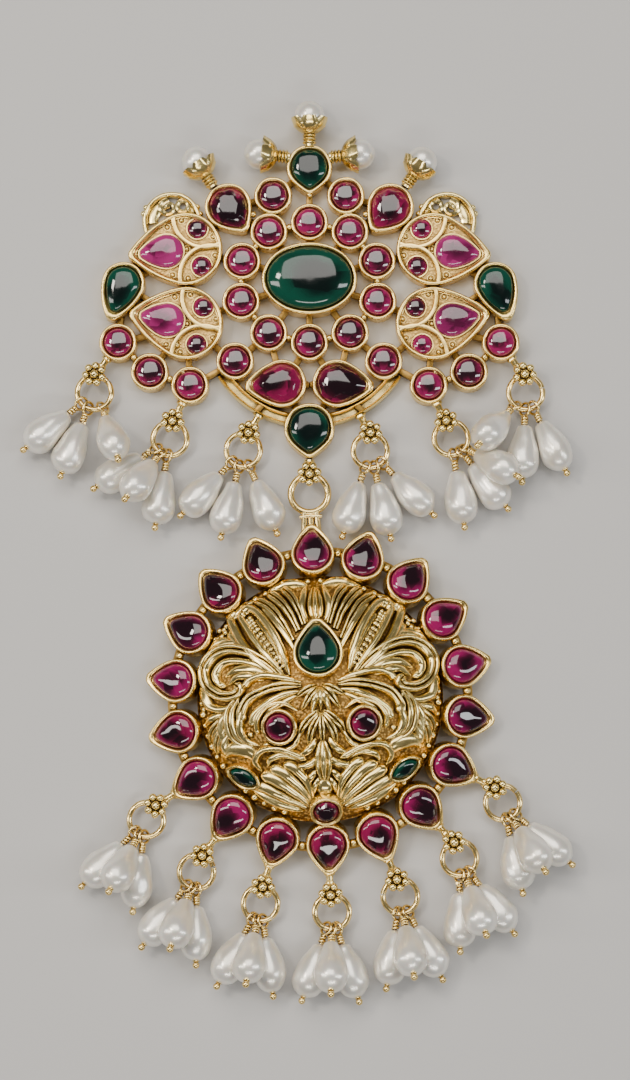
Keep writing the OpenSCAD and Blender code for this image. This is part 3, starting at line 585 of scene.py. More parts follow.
def finishPiece(name, bm, material, nodes, sharp=38):
    bmesh.ops.remove_doubles(bm, verts=bm.verts, dist=0.0004)
    bmesh.ops.recalc_face_normals(bm, faces=bm.faces)
    for v in bm.verts:
        v.co.z = max(v.co.z, 0)
    for f in bm.faces:
        f.smooth = True
    limit = math.radians(sharp)
    for e in bm.edges:
        if len(e.link_faces) == 2 and e.calc_face_angle(0) > limit:
            e.smooth = False
    bmesh.ops.scale(bm, vec=(mm, mm, mm), verts=bm.verts)
    mesh = bpy.data.meshes.new(name)
    bm.to_mesh(mesh)
    bm.free()
    piece = bpy.data.objects.new(name, mesh)
    bpy.context.scene.collection.objects.link(piece)
    mesh.materials.append(materials[material])
    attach(piece, "root")
    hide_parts(*nodes)


# Bezels of the plaque.

bezelRim = {
    # across the rim from the outside in, as shares of the wall's width, with heights in mm below the top
    "profile": [(1.04, -9), (1.0, -1.2), (1.0, -0.34), (0.95, -0.16), (0.82, -0.04), (0.62, 0.0),
                (0.42, -0.03), (0.24, -0.12), (0.12, -0.26), (0.06, -0.40), (-0.06, -0.46),
                (-0.10, -1.0)],
    "pearLift": 0.1, "uneven": (0.035, 1.7),
}


def addBezel(bm, outline, size, top, matrix, low=0.0, wall=plaque["wall"]):
    def build(part):
        levels = [(plaque["gap"] + wall * across, max(top + down, low))
                  for across, down in bezelRim["profile"]]
        skinOutlines(part, lambda grow: outline(*size, grow), levels)
    addPart(bm, build, matrix)


plaqueBezels = bmesh.new()
for side in (1, -1):
    for place in placesOn(roundPlaces, side):
        addBezel(plaqueBezels, roundOutline, (plaque["roundStone"],), plaque["bezelTop"],
                 onPlaque(place, 0, side))
    for place in placesOn(pearPlaces, side):
        addBezel(plaqueBezels, pearOutline, place[3:], plaque["bezelTop"] + bezelRim["pearLift"],
                 onPlaque(place, 0, side))
addBezel(plaqueBezels, ovalOutline, plaque["centreStone"], plaque["centreTop"], Matrix.Identity(4))
unevenly(plaqueBezels, *bezelRim["uneven"])
finishPiece("plaqueBezels", plaqueBezels, "castRims", ["plaque_setting"])
print("plaque bezels made")


# The web of bars and solder nubs behind the bezels.

web = {
    "soft": 0.3,
    "bars": [("centre", "flowerTop"), ("centre", "flowerHigh"), ("centre", "flowerEast"),
             ("centre", "flowerLowEast"), ("centre", "flowerLow"), ("centre", "flowerBottom"),
             ("flowerTop", "flowerHigh"), ("flowerHigh", "flowerEast"), ("flowerEast", "flowerLowEast"),
             ("flowerLowEast", "flowerLow"), ("flowerLow", "flowerBottom"), ("outerTop", "flowerHigh"),
             ("outerTop", "top"), ("top", "flowerTop"), ("outerTop", "upper"), ("upper", "flowerHigh"),
             ("upper", "upperLeaf"), ("flowerEast", "upperLeaf"), ("flowerLowEast", "lowerLeaf"),
             ("upperLeaf", "lowerLeaf"), ("upperLeaf", "side"), ("lowerLeaf", "side"),
             ("lowerLeaf", "edgeSide"), ("side", "edgeSide"), ("edgeSide", "edgeLow"),
             ("edgeLow", "edgeInner"), ("edgeLow", "lowerLeaf"), ("edgeInner", "lowerLeaf"),
             ("crescentEnd", "edgeInner"), ("crescentEnd", "flowerLow"), ("crescentEnd", "lowerLeaf"),
             ("lower", "flowerLow"), ("lower", "flowerBottom"), ("lower", "middleLow"),
             ("lower", "strutEnd"), ("lower", "bottom")],
    "nubs": [("flowerTop", "flowerHigh"), ("flowerHigh", "flowerEast"), ("flowerEast", "flowerLowEast"),
             ("flowerLowEast", "flowerLow"), ("flowerLow", "flowerBottom"), ("outerTop", "flowerHigh"),
             ("edgeSide", "edgeLow"), ("edgeLow", "edgeInner"), ("top", "flowerTop")],
    "looseNubs": [(31.6, -15.6), (30.2, -22.2), (13.5, 15.9)],
    "nub": (0.5, 2.45), "looseNub": (0.55, 2.3),  # radius, and height of its centre
}
barPlaces = {"centre": (0, 0), "middleLow": (0, -25), "strutEnd": (13.2, -32),
             "upperLeaf": leafPlaces["upper"], "lowerLeaf": leafPlaces["lower"]}
barPlaces.update(roundPlaces)
barPlaces.update(pearPlaces)

plaqueWeb = bmesh.new()
for side in (1, -1):
    for ends in web["bars"]:
        start, end = [Vector((share(barPlaces[e][0]) * side, share(barPlaces[e][1]), 0)) for e in ends]
        run = end - start
        if side < 0 and start.x == 0 and end.x == 0:
            continue

        def build(part, length=run.length):
            made = bmesh.ops.create_cube(part, size=1)
            bmesh.ops.scale(part, vec=(length, plaque["barWidth"], plaque["barHeight"]),
                            verts=made["verts"])
            bmesh.ops.bevel(part, geom=part.edges, offset=web["soft"], segments=2, profile=0.5,
                            affect="EDGES", material=-1)
        middle = (start + end) / 2
        addPart(plaqueWeb, build, moved(middle.x, middle.y, plaque["barHeight"] / 2)
                @ turned(math.degrees(math.atan2(run.y, run.x))))
finishPiece("plaqueWeb", plaqueWeb, "webGold", ["plaque_setting"])

solderNubs = bmesh.new()
for side in (1, -1):
    middles = [(Vector(barPlaces[a][:2]) + Vector(barPlaces[b][:2])) / 2 for a, b in web["nubs"]]
    for spots, (radius, z) in ((middles, web["nub"]), (web["looseNubs"], web["looseNub"])):
        for x, y in spots:
            addBall(solderNubs, (share(x) * side, share(y), z), radius)
unevenly(solderNubs, 0.1, 0.7)
finishPiece("solderNubs", solderNubs, "castRims", ["plaque_setting"])
print("web and nubs made")


# Leaf frames.

leafFrame = {
    "width": 11.9, "length": 15.6, "rim": 0.8, "top": plaque["bezelTop"] + 0.05,
    "ground": 2.3, "groundIn": 0.62, "granule": 0.342, "granuleRing": (0.56, 0.09),
    "stone": (5.5, 7.5), "stoneAlong": 0.26, "stoneRing": 0.2, "seedAt": (-0.19, 0.26), "seedRing": 0.16,
    "wallCentre": (-0.3, 0.41), "wallReach": 0.42, "wallZ": 2.55,
    "wallSection": [(-0.36, -0.5), (0.36, -0.5), (0.36, 0.28), (0.27, 0.41), (0, 0.46), (-0.27, 0.41),
                    (-0.36, 0.28)],
    "granules": [(-0.78, 0.26), (-0.78, -0.26), (0.02, 0.8), (0.02, -0.8), (0.43, 0.66),
                 (0.43, -0.66), (-0.03, 0), (1.36, 0), (-0.42, 0.8), (-0.42, -0.8)],
}
leafW, leafL, leafGround = leafFrame["width"], leafFrame["length"], leafFrame["ground"]


def leafOutline(grow):
    return pearOutline(leafW, leafL, grow, 44, 14)


def insideFrame(p, margin):
    # how an arc is kept inside the pear outline of a leaf frame
    r = leafW / 2 - margin
    tip = pearTip(leafW, leafL, r)
    if p.length <= r:
        return True
    a = math.acos(r / tip)
    fromTip = p - Vector((tip, 0, 0))
    return p.x > r * math.cos(a) and all(fromTip.dot(polar(1, math.degrees(a) * s)) <= 0 for s in (1, -1))


def buildLeafFrame(part):
    rim = leafFrame["rim"]
    levels = [(rim * (across - 1), max(leafFrame["top"] + down, 0))
              for across, down in bezelRim["profile"][:-1]]
    skinOutlines(part, leafOutline, levels + [(-rim * 1.05, leafGround - 0.3)])


def buildLeafGround(part):
    raisedBlock(part, leafOutline(-leafFrame["groundIn"]), 1, leafGround)


def addDividingWall(bm, spot, s):
    centre = Vector((leafFrame["wallCentre"][0], leafFrame["wallCentre"][1] * s, 0)) * leafW
    reach = leafFrame["wallReach"] * leafW
    kept = [a for a in range(360) if insideFrame(centre + polar(reach, a), 0.3)]
    gap = max(range(len(kept)), key=lambda k: (kept[k] - kept[k - 1]) % 360)
    start = kept[gap] - (360 if kept[gap] > kept[gap - 1] else 0)
    addArc(bm, centre, reach, start, kept[gap - 1], leafFrame["wallSection"],
           spot @ moved(0, 0, leafFrame["wallZ"]), 40)


leafFrames = bmesh.new()
leafGrounds = bmesh.new()
for side in (1, -1):
    for place in leafPlaces.values():
        spot = onPlaque(place, 0, side)
        addPart(leafFrames, buildLeafFrame, spot)
        addPart(leafGrounds, buildLeafGround, spot)
        for s in (1, -1):
            addDividingWall(leafFrames, spot, s)
        for x, y in leafFrame["granules"]:
            p = Vector((x, y, 0)) * leafW / 2
            radius, wire = leafFrame["granuleRing"]
            addBall(leafFrames, p + Vector((0, 0, leafGround + 0.05)), leafFrame["granule"], 2, spot)
            path = [p + q for q in circlePath(radius, points=14, z=leafGround + 0.02)]
            addStrands(leafFrames, [(path, wire, True)], 1, spot)
        for s in (1, -1):
            p = Vector((leafFrame["seedAt"][0], leafFrame["seedAt"][1] * s, 0)) * leafW
            radius = plaque["seedStone"] / 2 + plaque["gap"]
            path = [p + q for q in circlePath(radius, points=26, z=leafGround + 0.12)]
            addStrands(leafFrames, [(path, leafFrame["seedRing"], True)], 1, spot)
        shift = Vector((leafFrame["stoneAlong"] * leafW, 0, leafGround + 0.15))
        path = [p + shift for p in pearOutline(*leafFrame["stone"], plaque["gap"])]
        addStrands(leafFrames, [(path, leafFrame["stoneRing"], True)], 1, spot)
unevenly(leafFrames, 0.03, 1.3)
finishPiece("leafFrames", leafFrames, "castRims", ["plaque_setting"])
finishPiece("leafGrounds", leafGrounds, "leafGold", ["plaque_setting"])
print("leaf frames made")


# Crescent.

crescentBand = bmesh.new()
half = crescent["width"] / 2
rimSection = [(half, 1.75), (half - 0.06, 2.08), (half - 0.26, 2.28), (half - 0.46, 2.1),
              (half - 0.56, 1.7), (half - 0.62, 0.8)]  # a rounded rim, then the groove
section = [(-half, 0), (half, 0)] + rimSection + [(-x, z) for x, z in reversed(rimSection)]
addArc(crescentBand, (0, share(crescent["centre"][1])), crescent["radius"] - half, crescent["from"],
       -180 - crescent["from"], section, steps=90)
unevenly(crescentBand, 0.04, 1.6)
finishPiece("crescentBand", crescentBand, "castRelief", ["plaque_setting"])


# Tie loops behind the upper leaf frames.

tieLoop = {
    "place": (33, 14.6), "radius": 4.3,
    "section": [(-0.42, 0), (0.45, 0), (0.5, 0.6), (0.5, 1.2), (0.42, 1.45), (0.25, 1.58), (0.05, 1.6),
                (-0.15, 1.5), (-0.3, 1.2), (-0.42, 0.6), (-0.42, 0)],
    "plateRadius": 3.1, "plateSweep": (-5, 82),
    "plate": [(-0.85, 0.2), (0.8, 0.2), (0.8, 0.75), (0.35, 1.0), (-0.35, 1.0), (-0.85, 0.75)],
    "scrollAt": (0.6, 2.3, 0.8), "scroll": 1.5, "scrollWire": 0.5,
    "collarAt": (-1.75, 2.5, 0.75), "collar": 0.9, "collarWire": 0.42,
    "leaf": [(-3.7, 0.7, 0.7), (-3.1, 1.7, 0.9), (-2.9, 2.6, 0.7)], "leafWidths": [0.25, 0.6, 0.25],
    "granules": (150, 165, 15, 28), "granulesOut": 4.75,
}

tieLoops = bmesh.new()
for side in (1, -1):
    spot = onPlaque(tieLoop["place"], 0, side)
    addTurned(tieLoops, [(tieLoop["radius"] + x, z) for x, z in tieLoop["section"]], 56, spot)
    addArc(tieLoops, (0, 0), tieLoop["plateRadius"], *tieLoop["plateSweep"], tieLoop["plate"], spot, 24)
    scroll, scrollWidths = [], []
    for i in range(31):
        scroll.append(polar(tieLoop["scroll"] * (1 - 0.72 * i / 30), 85 - 15 * i)
                      + Vector(tieLoop["scrollAt"]))
        scrollWidths.append(tieLoop["scrollWire"] * (1 - 0.5 * i / 30))
    collar = [p + Vector(tieLoop["collarAt"]) for p in circlePath(tieLoop["collar"], points=20)]
    addStrands(tieLoops, [(scroll, scrollWidths, False), (collar, tieLoop["collarWire"], True),
                          (tieLoop["leaf"], tieLoop["leafWidths"], False)], 2, spot)
    for angle in tieLoop["granules"]:
        addBall(tieLoops, polar(tieLoop["granulesOut"], angle) + Vector((0, 0, 0.9)), 0.5, 2, spot)
unevenly(tieLoops, 0.05, 1.1)
finishPiece("tieLoops", tieLoops, "castRelief", ["plaque_setting"])
print("crescent and tie loops made")


# Pearl studs: ringed stems and petal cups.

studs = {
    "places": [(0, 32.7, 90), (5.2, 29.6, 6), (-5.2, 29.6, 174), (23.2, 22.7, 57), (-23.2, 22.7, 123)],
    "pearl": 5.0, "stemLength": 1.9, "stemRadius": 0.8, "stemRings": 4, "cupLength": 2.9, "wall": 0.4,
    "petals": 6, "petalFrom": 22, "petalTo": 82, "petalSpread": 34, "petalThickness": 0.16,
    "base": [(0, -0.2), (0.9, -0.2), (1.5, 0.35), (1.9, 0.95), (1.2, 0.9), (0, 0.9)],
}
cupR = studs["pearl"] / 2 + plaque["gap"]
studX = studs["stemLength"] + 0.95 * studs["cupLength"]
studZ = cupR + studs["wall"]


def addStudStem(bm, spot):
    r = studs["stemRadius"]
    profile = [(0, -0.35), (r, -0.35)]
    for k in range(studs["stemRings"]):
        z = 0.1 + 0.55 * k
        profile += [(r, z - 0.14), (r + 0.26, z), (r + 0.34, z + 0.14), (r + 0.26, z + 0.28)]
    profile += [(r + 0.05, studs["stemLength"] + 0.3), (0, studs["stemLength"] + 0.35)]
    addTurned(bm, profile, 24, spot)


def addPetal(bm, turn, spot):
    # a hollow leaf laid round the pearl: u runs from its foot to its lip, across from edge to edge
    def build(part):
        made = bmesh.ops.create_grid(part, x_segments=8, y_segments=10, size=1)
        for v in made["verts"]:
            u, across = (v.co.y + 1) / 2, v.co.x
            p = math.radians(studs["petalFrom"] + (studs["petalTo"] - studs["petalFrom"]) * u)
            spread = studs["petalSpread"] * math.sin(math.pi * (0.16 + 0.70 * u)) ** 0.8
            around = turn + spread / max(math.sin(p), 0.45) * across
            out = cupR + 0.12 + 0.22 * (1 - across ** 2) + 0.25 * max(0, u - 0.82) * 4
            out -= 0.16 * math.exp(-(across / 0.16) ** 2) * (1 - u * 0.4)  # groove down the middle
            v.co = polar(out * math.sin(p), around) + Vector((0, 0, studX - out * math.cos(p)))
        bmesh.ops.recalc_face_normals(part, faces=part.faces)
        bmesh.ops.solidify(part, geom=part.faces[:], thickness=studs["petalThickness"])
    addPart(bm, build, spot)


pearlStuds = bmesh.new()
for place in studs["places"]:
    spot = onPlaque(place, studZ) @ turned(90, "Y")  # the stud's axis is now the upright one
    addStudStem(pearlStuds, spot)
    for k in range(studs["petals"]):
        addPetal(pearlStuds, 360 / studs["petals"] * k, spot)
    addTurned(pearlStuds, studs["base"], 20, spot @ moved(0, 0, studs["stemLength"] + 0.1))
    for k in range(studs["petals"]):  # a granule between the petals' feet
        p = polar(cupR + 0.25, 360 / studs["petals"] * (k + 0.5)) * 0.80
        addBall(pearlStuds, p + Vector((0, 0, studX - cupR * 0.62)), 0.34, 2, spot)
unevenly(pearlStuds, 0.03, 0.9)
finishPiece("pearlStudMounts", pearlStuds, "castRelief", ["plaque_setting"], 50)


# Hooks with granule rosettes.

def addHook(bm, matrix, stem):
    r = hook["stemRadius"]
    profile = [(0, 0), (r + 0.25, 0), (r + 0.3, 0.3), (r, 0.5), (r - 0.05, stem * 0.55),
               (r + 0.12, stem * 0.6), (r + 0.12, stem * 0.75), (r - 0.08, stem * 0.8),
               (r - 0.15, stem + 0.2), (0, stem + 0.25)]
    addTurned(bm, profile, 18, matrix @ moved(-hook["loop"] - stem, 0) @ turned(90, "Y"))
    addStrands(bm, [(circlePath(hook["loop"], points=30), hook["loopWire"], True)], 3,
               matrix @ turned(90, "X"))
    bead = hook["bead"]
    top = matrix @ moved(0, 0, hook["loop"] + hook["loopWire"] / 2)
    plate = [(0, 0), (2.1, 0), (2.2, 0.3), (2.0, 0.9), (0, 1)]  # in radii of a granule
    addTurned(bm, [(x * bead, z * bead) for x, z in plate], 24, top)
    for i in range(hook["beads"]):
        p = polar(2.15 * bead, 360 / hook["beads"] * (i + 1)) + Vector((0, 0, bead))
        addBall(bm, p, bead * 0.99, 3, top)
    addBall(bm, (0, 0, bead * 1.3), bead * 1.12, 3, top)


plaqueHooksPiece = bmesh.new()
for h in plaqueHooks:
    p = hookPlace(h)
    addHook(plaqueHooksPiece, moved(p.x, p.y, ring["height"]) @ turned(h[2]), hook["stem"])
addHook(plaqueHooksPiece, moved(0, linkLoopY, ring["height"]) @ turned(-90), link["stem"])
unevenly(plaqueHooksPiece, 0.05, 0.8)
finishPiece("plaqueHooks", plaqueHooksPiece, "castRelief", ["plaque_setting"], 50)

pendantHooksPiece = bmesh.new()
for i in range(len(pendantDrops)):
    p = pendantHook(i)
    spot = layPendant @ moved(p.x, p.y, ring["height"]) @ turned(petalAngle(pendant["firstHooked"] + i))
    addHook(pendantHooksPiece, spot, hook["stem"])
unevenly(pendantHooksPiece, 0.05, 0.8)
finishPiece("pendantHooks", pendantHooksPiece, "castRelief", ["pendant_setting"], 50)
print("studs and hooks made")


# Pendant: dome, relief and bezels.

dome = {"rings": 24, "rimOut": 0.35, "seat": 17.4, "seatIn": 17.25, "hollow": 17.0, "hollowRings": 12}
pendantDome = bmesh.new()
profile = [(0, sphereZ + sphereR)]
for i in range(1, dome["rings"] + 1):
    x = pendant["domeRadius"] * i / dome["rings"]
    profile.append((x, sphereZ + math.sqrt(sphereR ** 2 - x * x)))
rimZ = petalZ - 0.6
rimR = pendant["domeRadius"] + dome["rimOut"]
profile += [(rimR, pendant["foot"] + 0.3), (rimR, rimZ + 0.2), (rimR - 0.2, rimZ), (dome["seat"], rimZ),
            (dome["seatIn"], rimZ + 0.2), (dome["seatIn"], pendant["foot"])]
for i in range(dome["hollowRings"], -1, -1):
    x = dome["hollow"] * i / dome["hollowRings"]
    profile.append((x, sphereZ + math.sqrt((sphereR - pendant["domeWall"]) ** 2 - x * x)))
addTurned(pendantDome, profile, 120, layPendant)
finishPiece("pendantDome", pendantDome, "punchedGold", ["pendant_setting"], 50)

# Relief of the dome, right half: kind, width, ribs across, lift in mm, then places from the root to the
# tip; places and widths are in hundredths of the dome's radius.
reliefRight = [
    ("feather", 7.6, 2, 1.35, [(10, 60), (14, 72), (19, 83), (27, 92)]),
    ("feather", 8.4, 2, 1.45, [(15, 55), (21, 69), (29, 80), (39, 89)]),
    ("feather", 8.2, 2, 1.35, [(20, 47), (28, 63), (37, 75), (50, 84)]),
    ("feather", 7.0, 1, 1.15, [(17, 37), (25, 51), (34, 65), (44, 77)]),
    ("leaf", 6.8, 1, 1.0, [(7, 62), (11, 73), (9, 85), (6, 95)]),
    ("leaf", 7.1, 1, 0.9, [(5, 94), (17, 96), (30, 94), (40, 90)]),
    ("rib", 7.0, 1, 1.5, [(24, 19), (28, 36), (36, 55), (46, 70), (54, 76), (60, 72)]),
    ("rib", 6.2, 1, 1.4, [(28, 19), (38, 32), (49, 47), (57, 61), (61, 69), (58, 74)]),
    ("rib", 4.5, 1, 0.8, [(26, 21), (32, 38), (41, 55), (50, 68)]),
    ("strip", 10.0, 1, 0.35, [(29, 23), (39, 40), (49, 57), (55, 68)]),
    ("rib", 7.4, 1, 1.2, [(31, 16), (48, 31), (60, 46), (67, 60), (70, 70), (64, 76)]),
    ("feather", 7.6, 1, 1.0, [(35, 20), (52, 34), (64, 48), (73, 58)]),
    ("rib", 8.4, 2, 1.55, [(27, 15), (41, 30), (57, 40), (73, 43), (86, 38), (93, 27), (90, 14), (80, 6),
                           (69, 6), (65, 11), (70, 15)]),
    ("rib", 5.8, 1, 1.1, [(35, 18), (49, 28), (64, 33), (77, 32), (84, 24), (82, 16), (76, 13)]),
    ("leaf", 8.0, 1, 1.0, [(40, 20), (53, 25), (66, 26), (77, 21)]),
    ("leaf", 7.0, 1, 1.15, [(45, 16), (56, 20), (66, 20), (75, 14)]),
    ("feather", 8.4, 1, 1.1, [(66, 0), (79, -5), (90, -2), (94, 7), (95, 17)]),
    ("rib", 6.1, 1, 0.8, [(55, 46), (71, 49), (83, 46), (92, 37)]),
    ("leaf", 6.4, 1, 0.8, [(68, 51), (78, 51), (87, 46), (94, 33)]),
    ("rib", 6.0, 1, 1.2, [(15, 13), (29, 17), (45, 20), (56, 17), (62, 11)]),
    ("rib", 7.4, 2, 1.45, [(15, 10), (29, 11), (44, 8), (57, 2), (64, -8), (64, -17)]),
    ("rib", 6.4, 1, 1.2, [(17, 6), (31, 3), (45, -4), (54, -12), (57, -21)]),
    ("leaf", 6.4, 1, 0.9, [(19, 3), (30, -3), (40, -8), (48, -12)]),
    ("leaf", 9.0, 2, 1.3, [(64, 7), (73, -6), (74, -19), (69, -31), (56, -38)]),
    ("leaf", 6.4, 1, 1.1, [(60, -1), (65, -11), (66, -23), (61, -32), (51, -37)]),
    ("leaf", 6.6, 1, 1.0, [(70, -2), (79, -11), (82, -22), (78, -34), (72, -41)]),
    ("leaf", 7.4, 2, 1.0, [(75, -10), (84, -17), (90, -25), (92, -33)]),
    ("leaf", 8.4, 2, 1.0, [(76, -15), (82, -24), (86, -33), (87, -42)]),
    ("leaf", 6.8, 1, 1.0, [(75, -23), (79, -31), (80, -38), (79, -44)]),
    ("leaf", 6.6, 1, 0.95, [(79, -9), (87, -11), (92, -14), (96, -20)]),
    ("leaf", 6.6, 2, 1.1, [(2, 10), (10, 7), (20, 1)]),
    ("leaf", 6.8, 2, 1.2, [(1, 9), (8, 2), (16, -10)]),
    ("leaf", 6.0, 1, 1.3, [(0, 7), (4, -1), (8, -14)]),
    ("leaf", 6.8, 2, 1.1, [(1, -10), (9, -16), (16, -24), (19, -32)]),
    ("leaf", 6.6, 2, 1.2, [(0, -12), (6, -21), (10, -30), (11, -40)]),
    ("leaf", 6.4, 1, 1.0, [(5, -32), (9, -39), (15, -44), (22, -46)]),
    ("leaf", 6.2, 1, 1.0, [(3, -45), (9, -52), (18, -55), (26, -53)]),
    ("rib", 5.6, 1, 1.35, [(51, -57), (55, -48), (49, -40), (37, -39), (26, -43), (13, -50)]),
    ("leaf", 6.0, 1, 1.0, [(46, -54), (42, -47), (32, -45), (21, -50)]),
    ("feather", 7.6, 1, 1.35, [(10, -82), (14, -68), (22, -57), (33, -51)]),
    ("feather", 8.4, 1, 1.45, [(11, -84), (20, -71), (31, -60), (44, -54)]),
    ("feather", 8.6, 1, 1.45, [(13, -86), (25, -75), (38, -65), (52, -59)]),
    ("feather", 8.0, 1, 1.3, [(16, -88), (31, -80), (45, -72), (60, -66)]),
    ("leaf", 7.4, 1, 0.9, [(18, -92), (34, -86), (48, -79), (60, -72)]),
    ("leaf", 11.5, 1, 0.8, [(84, -45), (74, -38), (61, -41), (54, -50)]),
    ("rib", 5.0, 1, 1.0, [(19, -10), (31, -3), (44, -6), (52, -16), (52, -28)]),
    ("rib", 5.0, 1, 0.9, [(17, -27), (24, -38), (37, -41), (48, -34)]),
    ("leaf", 5.6, 1, 1.0, [(5, -58), (11, -64), (14, -74)]),
    ("leaf", 5.0, 1, 0.9, [(4, -64), (8, -71), (9, -80)]),
    ("leaf", 6.0, 1, 0.8, [(50, 84), (58, 79), (66, 72), (72, 66)]),
]
reliefMiddle = [
    ("leaf", 12, 3, 1.4, [(0, 62), (0, 76), (0, 93)]),
    ("leaf", 5, 1, 1.2, [(0, 9), (0, 0), (0, -11)]),
    ("leaf", 6, 2, 1.2, [(0, -12), (0, -25), (0, -39)]),
    ("leaf", 13, 3, 1.45, [(0, -34), (0, -52), (0, -71)]),
    ("leaf", 12, 1, 0.9, [(0, -64), (0, -74), (0, -84)]),
]
reliefShape = {"fullness": 1.3, "groove": 0.42, "root": 0.35, "steps": 120}
reliefBeads = {  # places in hundredths of the dome's radius, sizes in mm
    "strip": [(30, 26), (39, 40), (49, 57), (55, 67)], "stripCount": 13, "stripBead": 0.36,
    "edgeCount": 30, "edgeFrom": 87, "edgeStep": 5.4, "edgeOut": 0.972, "edgeBead": 0.44,
    "loose": [(66, 70), (71, 65), (75, 58), (60, 77), (63, 73), (70, 69), (78, 55), (74, 63), (80, 60),
              (88, 50), (84, 53), (66, 56), (70, 58), (97, 4), (96, -4), (58, -27), (62, -42), (46, -36)],
    "looseBead": 0.46,
}


def leafBody(kind, u):
    # how wide a leaf is at a share u of its length
    if kind == "feather":
        swell = min(u / 0.72, 1)
        tipRound = 1 if u < 0.84 else max(1 - ((u - 0.84) / 0.16) ** 2, 0) ** 0.5
        return (0.62 + 0.38 * swell * swell * (3 - 2 * swell)) * tipRound
    if kind in ("rib", "strip"):
        return min(1, 0.3 + 0.7 * (u / 0.22) ** 0.7, max((1 - u) / 0.07, 0) ** 0.5)
    return max(math.sin(math.pi * u ** 0.9), 0) ** 0.55


def addLeaf(bm, kind, width, ribs, lift, places, side=1):
    # a grid bent along a path and lifted off the dome: u runs along it, s across it from -1 to 1
    steps, root = reliefShape["steps"], reliefShape["root"]
    path = smoothPath([(x / 100 * side, y / 100) for x, y in places], steps)
    rows = 12 + 5 * len(places)

    def build(part):
        made = bmesh.ops.create_grid(part, x_segments=4 + 6 * ribs, y_segments=rows, size=1)
        for v in made["verts"]:
            u, s = (v.co.y + 1) / 2, v.co.x
            i = min(int(u * steps), steps - 1)
            middle = path[i].lerp(path[i + 1], u * steps - i)
            along = (path[min(i + 2, steps)] - path[max(i - 1, 0)]).normalized()
            body = max(leafBody(kind, u), 0.05)
            p = middle + Vector((-along.y, along.x, 0)) * width * reliefShape["fullness"] / 200 * s * body
            rib = max(1 - (2 * ((s + 1) / 2 * ribs % 1) - 1) ** 2, 0) ** 0.5 if abs(s) < 0.999 else 0
            arch = (1 - abs(s) ** 3) ** 0.5 if abs(s) < 0.999 else 0
            crown = arch * (1 - reliefShape["groove"] + reliefShape["groove"] * rib)
            curl = 0.82 + 0.18 * math.sin(math.pi * min(u * 1.15, 1))
            v.co = domePoint(p.x, p.y, -root + (lift + root) * crown * curl * (0.3 + 0.7 * body))
        bmesh.ops.holes_fill(part, edges=[e for e in part.edges if e.is_boundary], sides=0)
    addPart(bm, build, layPendant)


def addReliefBeads(bm, side):
    # granules in the open strips, along the dome's edge and loose between the leaves
    last = reliefBeads["stripCount"] - 1
    path = smoothPath(reliefBeads["strip"], 5 * last)
    for i in range(last + 1):
        p = path[5 * i]
        for apart in (-1.3, 1.3):
            spot = domePoint((p.x + apart) / 100 * side, (p.y - apart * 0.7) / 100, 0.42)
            addBall(bm, spot, reliefBeads["stripBead"] + 0.06 * (i % 3), 2, layPendant)
    for i in range(reliefBeads["edgeCount"]):
        p = polar(reliefBeads["edgeOut"], reliefBeads["edgeFrom"] - reliefBeads["edgeStep"] * i)
        addBall(bm, domePoint(p.x * side, p.y, 0.12), reliefBeads["edgeBead"] + 0.08 * (i * 7 % 3), 2,
                layPendant)
    for x, y in reliefBeads["loose"]:
        addBall(bm, domePoint(x / 100 * side, y / 100, 0.16), reliefBeads["looseBead"], 2, layPendant)


domeRelief = bmesh.new()
for side in (1, -1):
    for leaf in reliefRight:
        addLeaf(domeRelief, *leaf, side=side)
    addReliefBeads(domeRelief, side)
for leaf in reliefMiddle:
    addLeaf(domeRelief, *leaf)
unevenly(domeRelief, 0.06, 1.4)
finishPiece("domeRelief", domeRelief, "castRelief", ["pendant_setting"], 60)
print("dome relief made")

domeStones = {  # place in shares of the dome's radius, turn, size of the stone, top of its bezel
    "emerald": ((0, 0.35), 90, (6.4, 8.1), 1.5),
    "ruby": ((0.34, -0.22), 0, (4.2,), 1.5),
    "marquise": ((0.7, -0.6), 32, (4.6, 2.6), 1.2),
    "low": ((0, -0.88), 0, (3.7,), 2.2),
}


def domeSpot(name, side=1):
    place, turn = domeStones[name][:2]
    return onDome(*place, side) @ turned(turn)


def addDomeBezel(name, outline, side=1, wall=plaque["wall"]):
    addBezel(pendantBezels, outline, *domeStones[name][2:], domeSpot(name, side), -1.0, wall)


pendantBezels = bmesh.new()
for i in range(pendant["petals"]):
    addBezel(pendantBezels, pearOutline, (petalW, petalL), pendant["petalTop"] + bezelRim["pearLift"],
             atPetal(i))
    addBall(pendantBezels, (petalRing + 1.0, 0, petalZ + 1.5), 0.62, 2,
            layPendant @ turned(petalAngle(i) - 10))
addDomeBezel("emerald", pearOutline)
for side in (1, -1):
    addDomeBezel("ruby", roundOutline, side)
    addDomeBezel("marquise", almondOutline, side, 0.5)
addDomeBezel("low", roundOutline)
unevenly(pendantBezels, *bezelRim["uneven"])
finishPiece("pendantBezels", pendantBezels, "castRims", ["pendant_setting"])

pendantHoop = bmesh.new()
hoopSection = [(0.4, 0), (1.9, 0), (1.9, 1.1), (1.6, 1.35), (0.7, 1.35), (0.4, 1.1), (0.4, 0)]
addTurned(pendantHoop, [(petalRing + x, petalZ + z) for x, z in hoopSection], 96, layPendant)
finishPiece("pendantHoop", pendantHoop, "webGold", ["pendant_setting"])

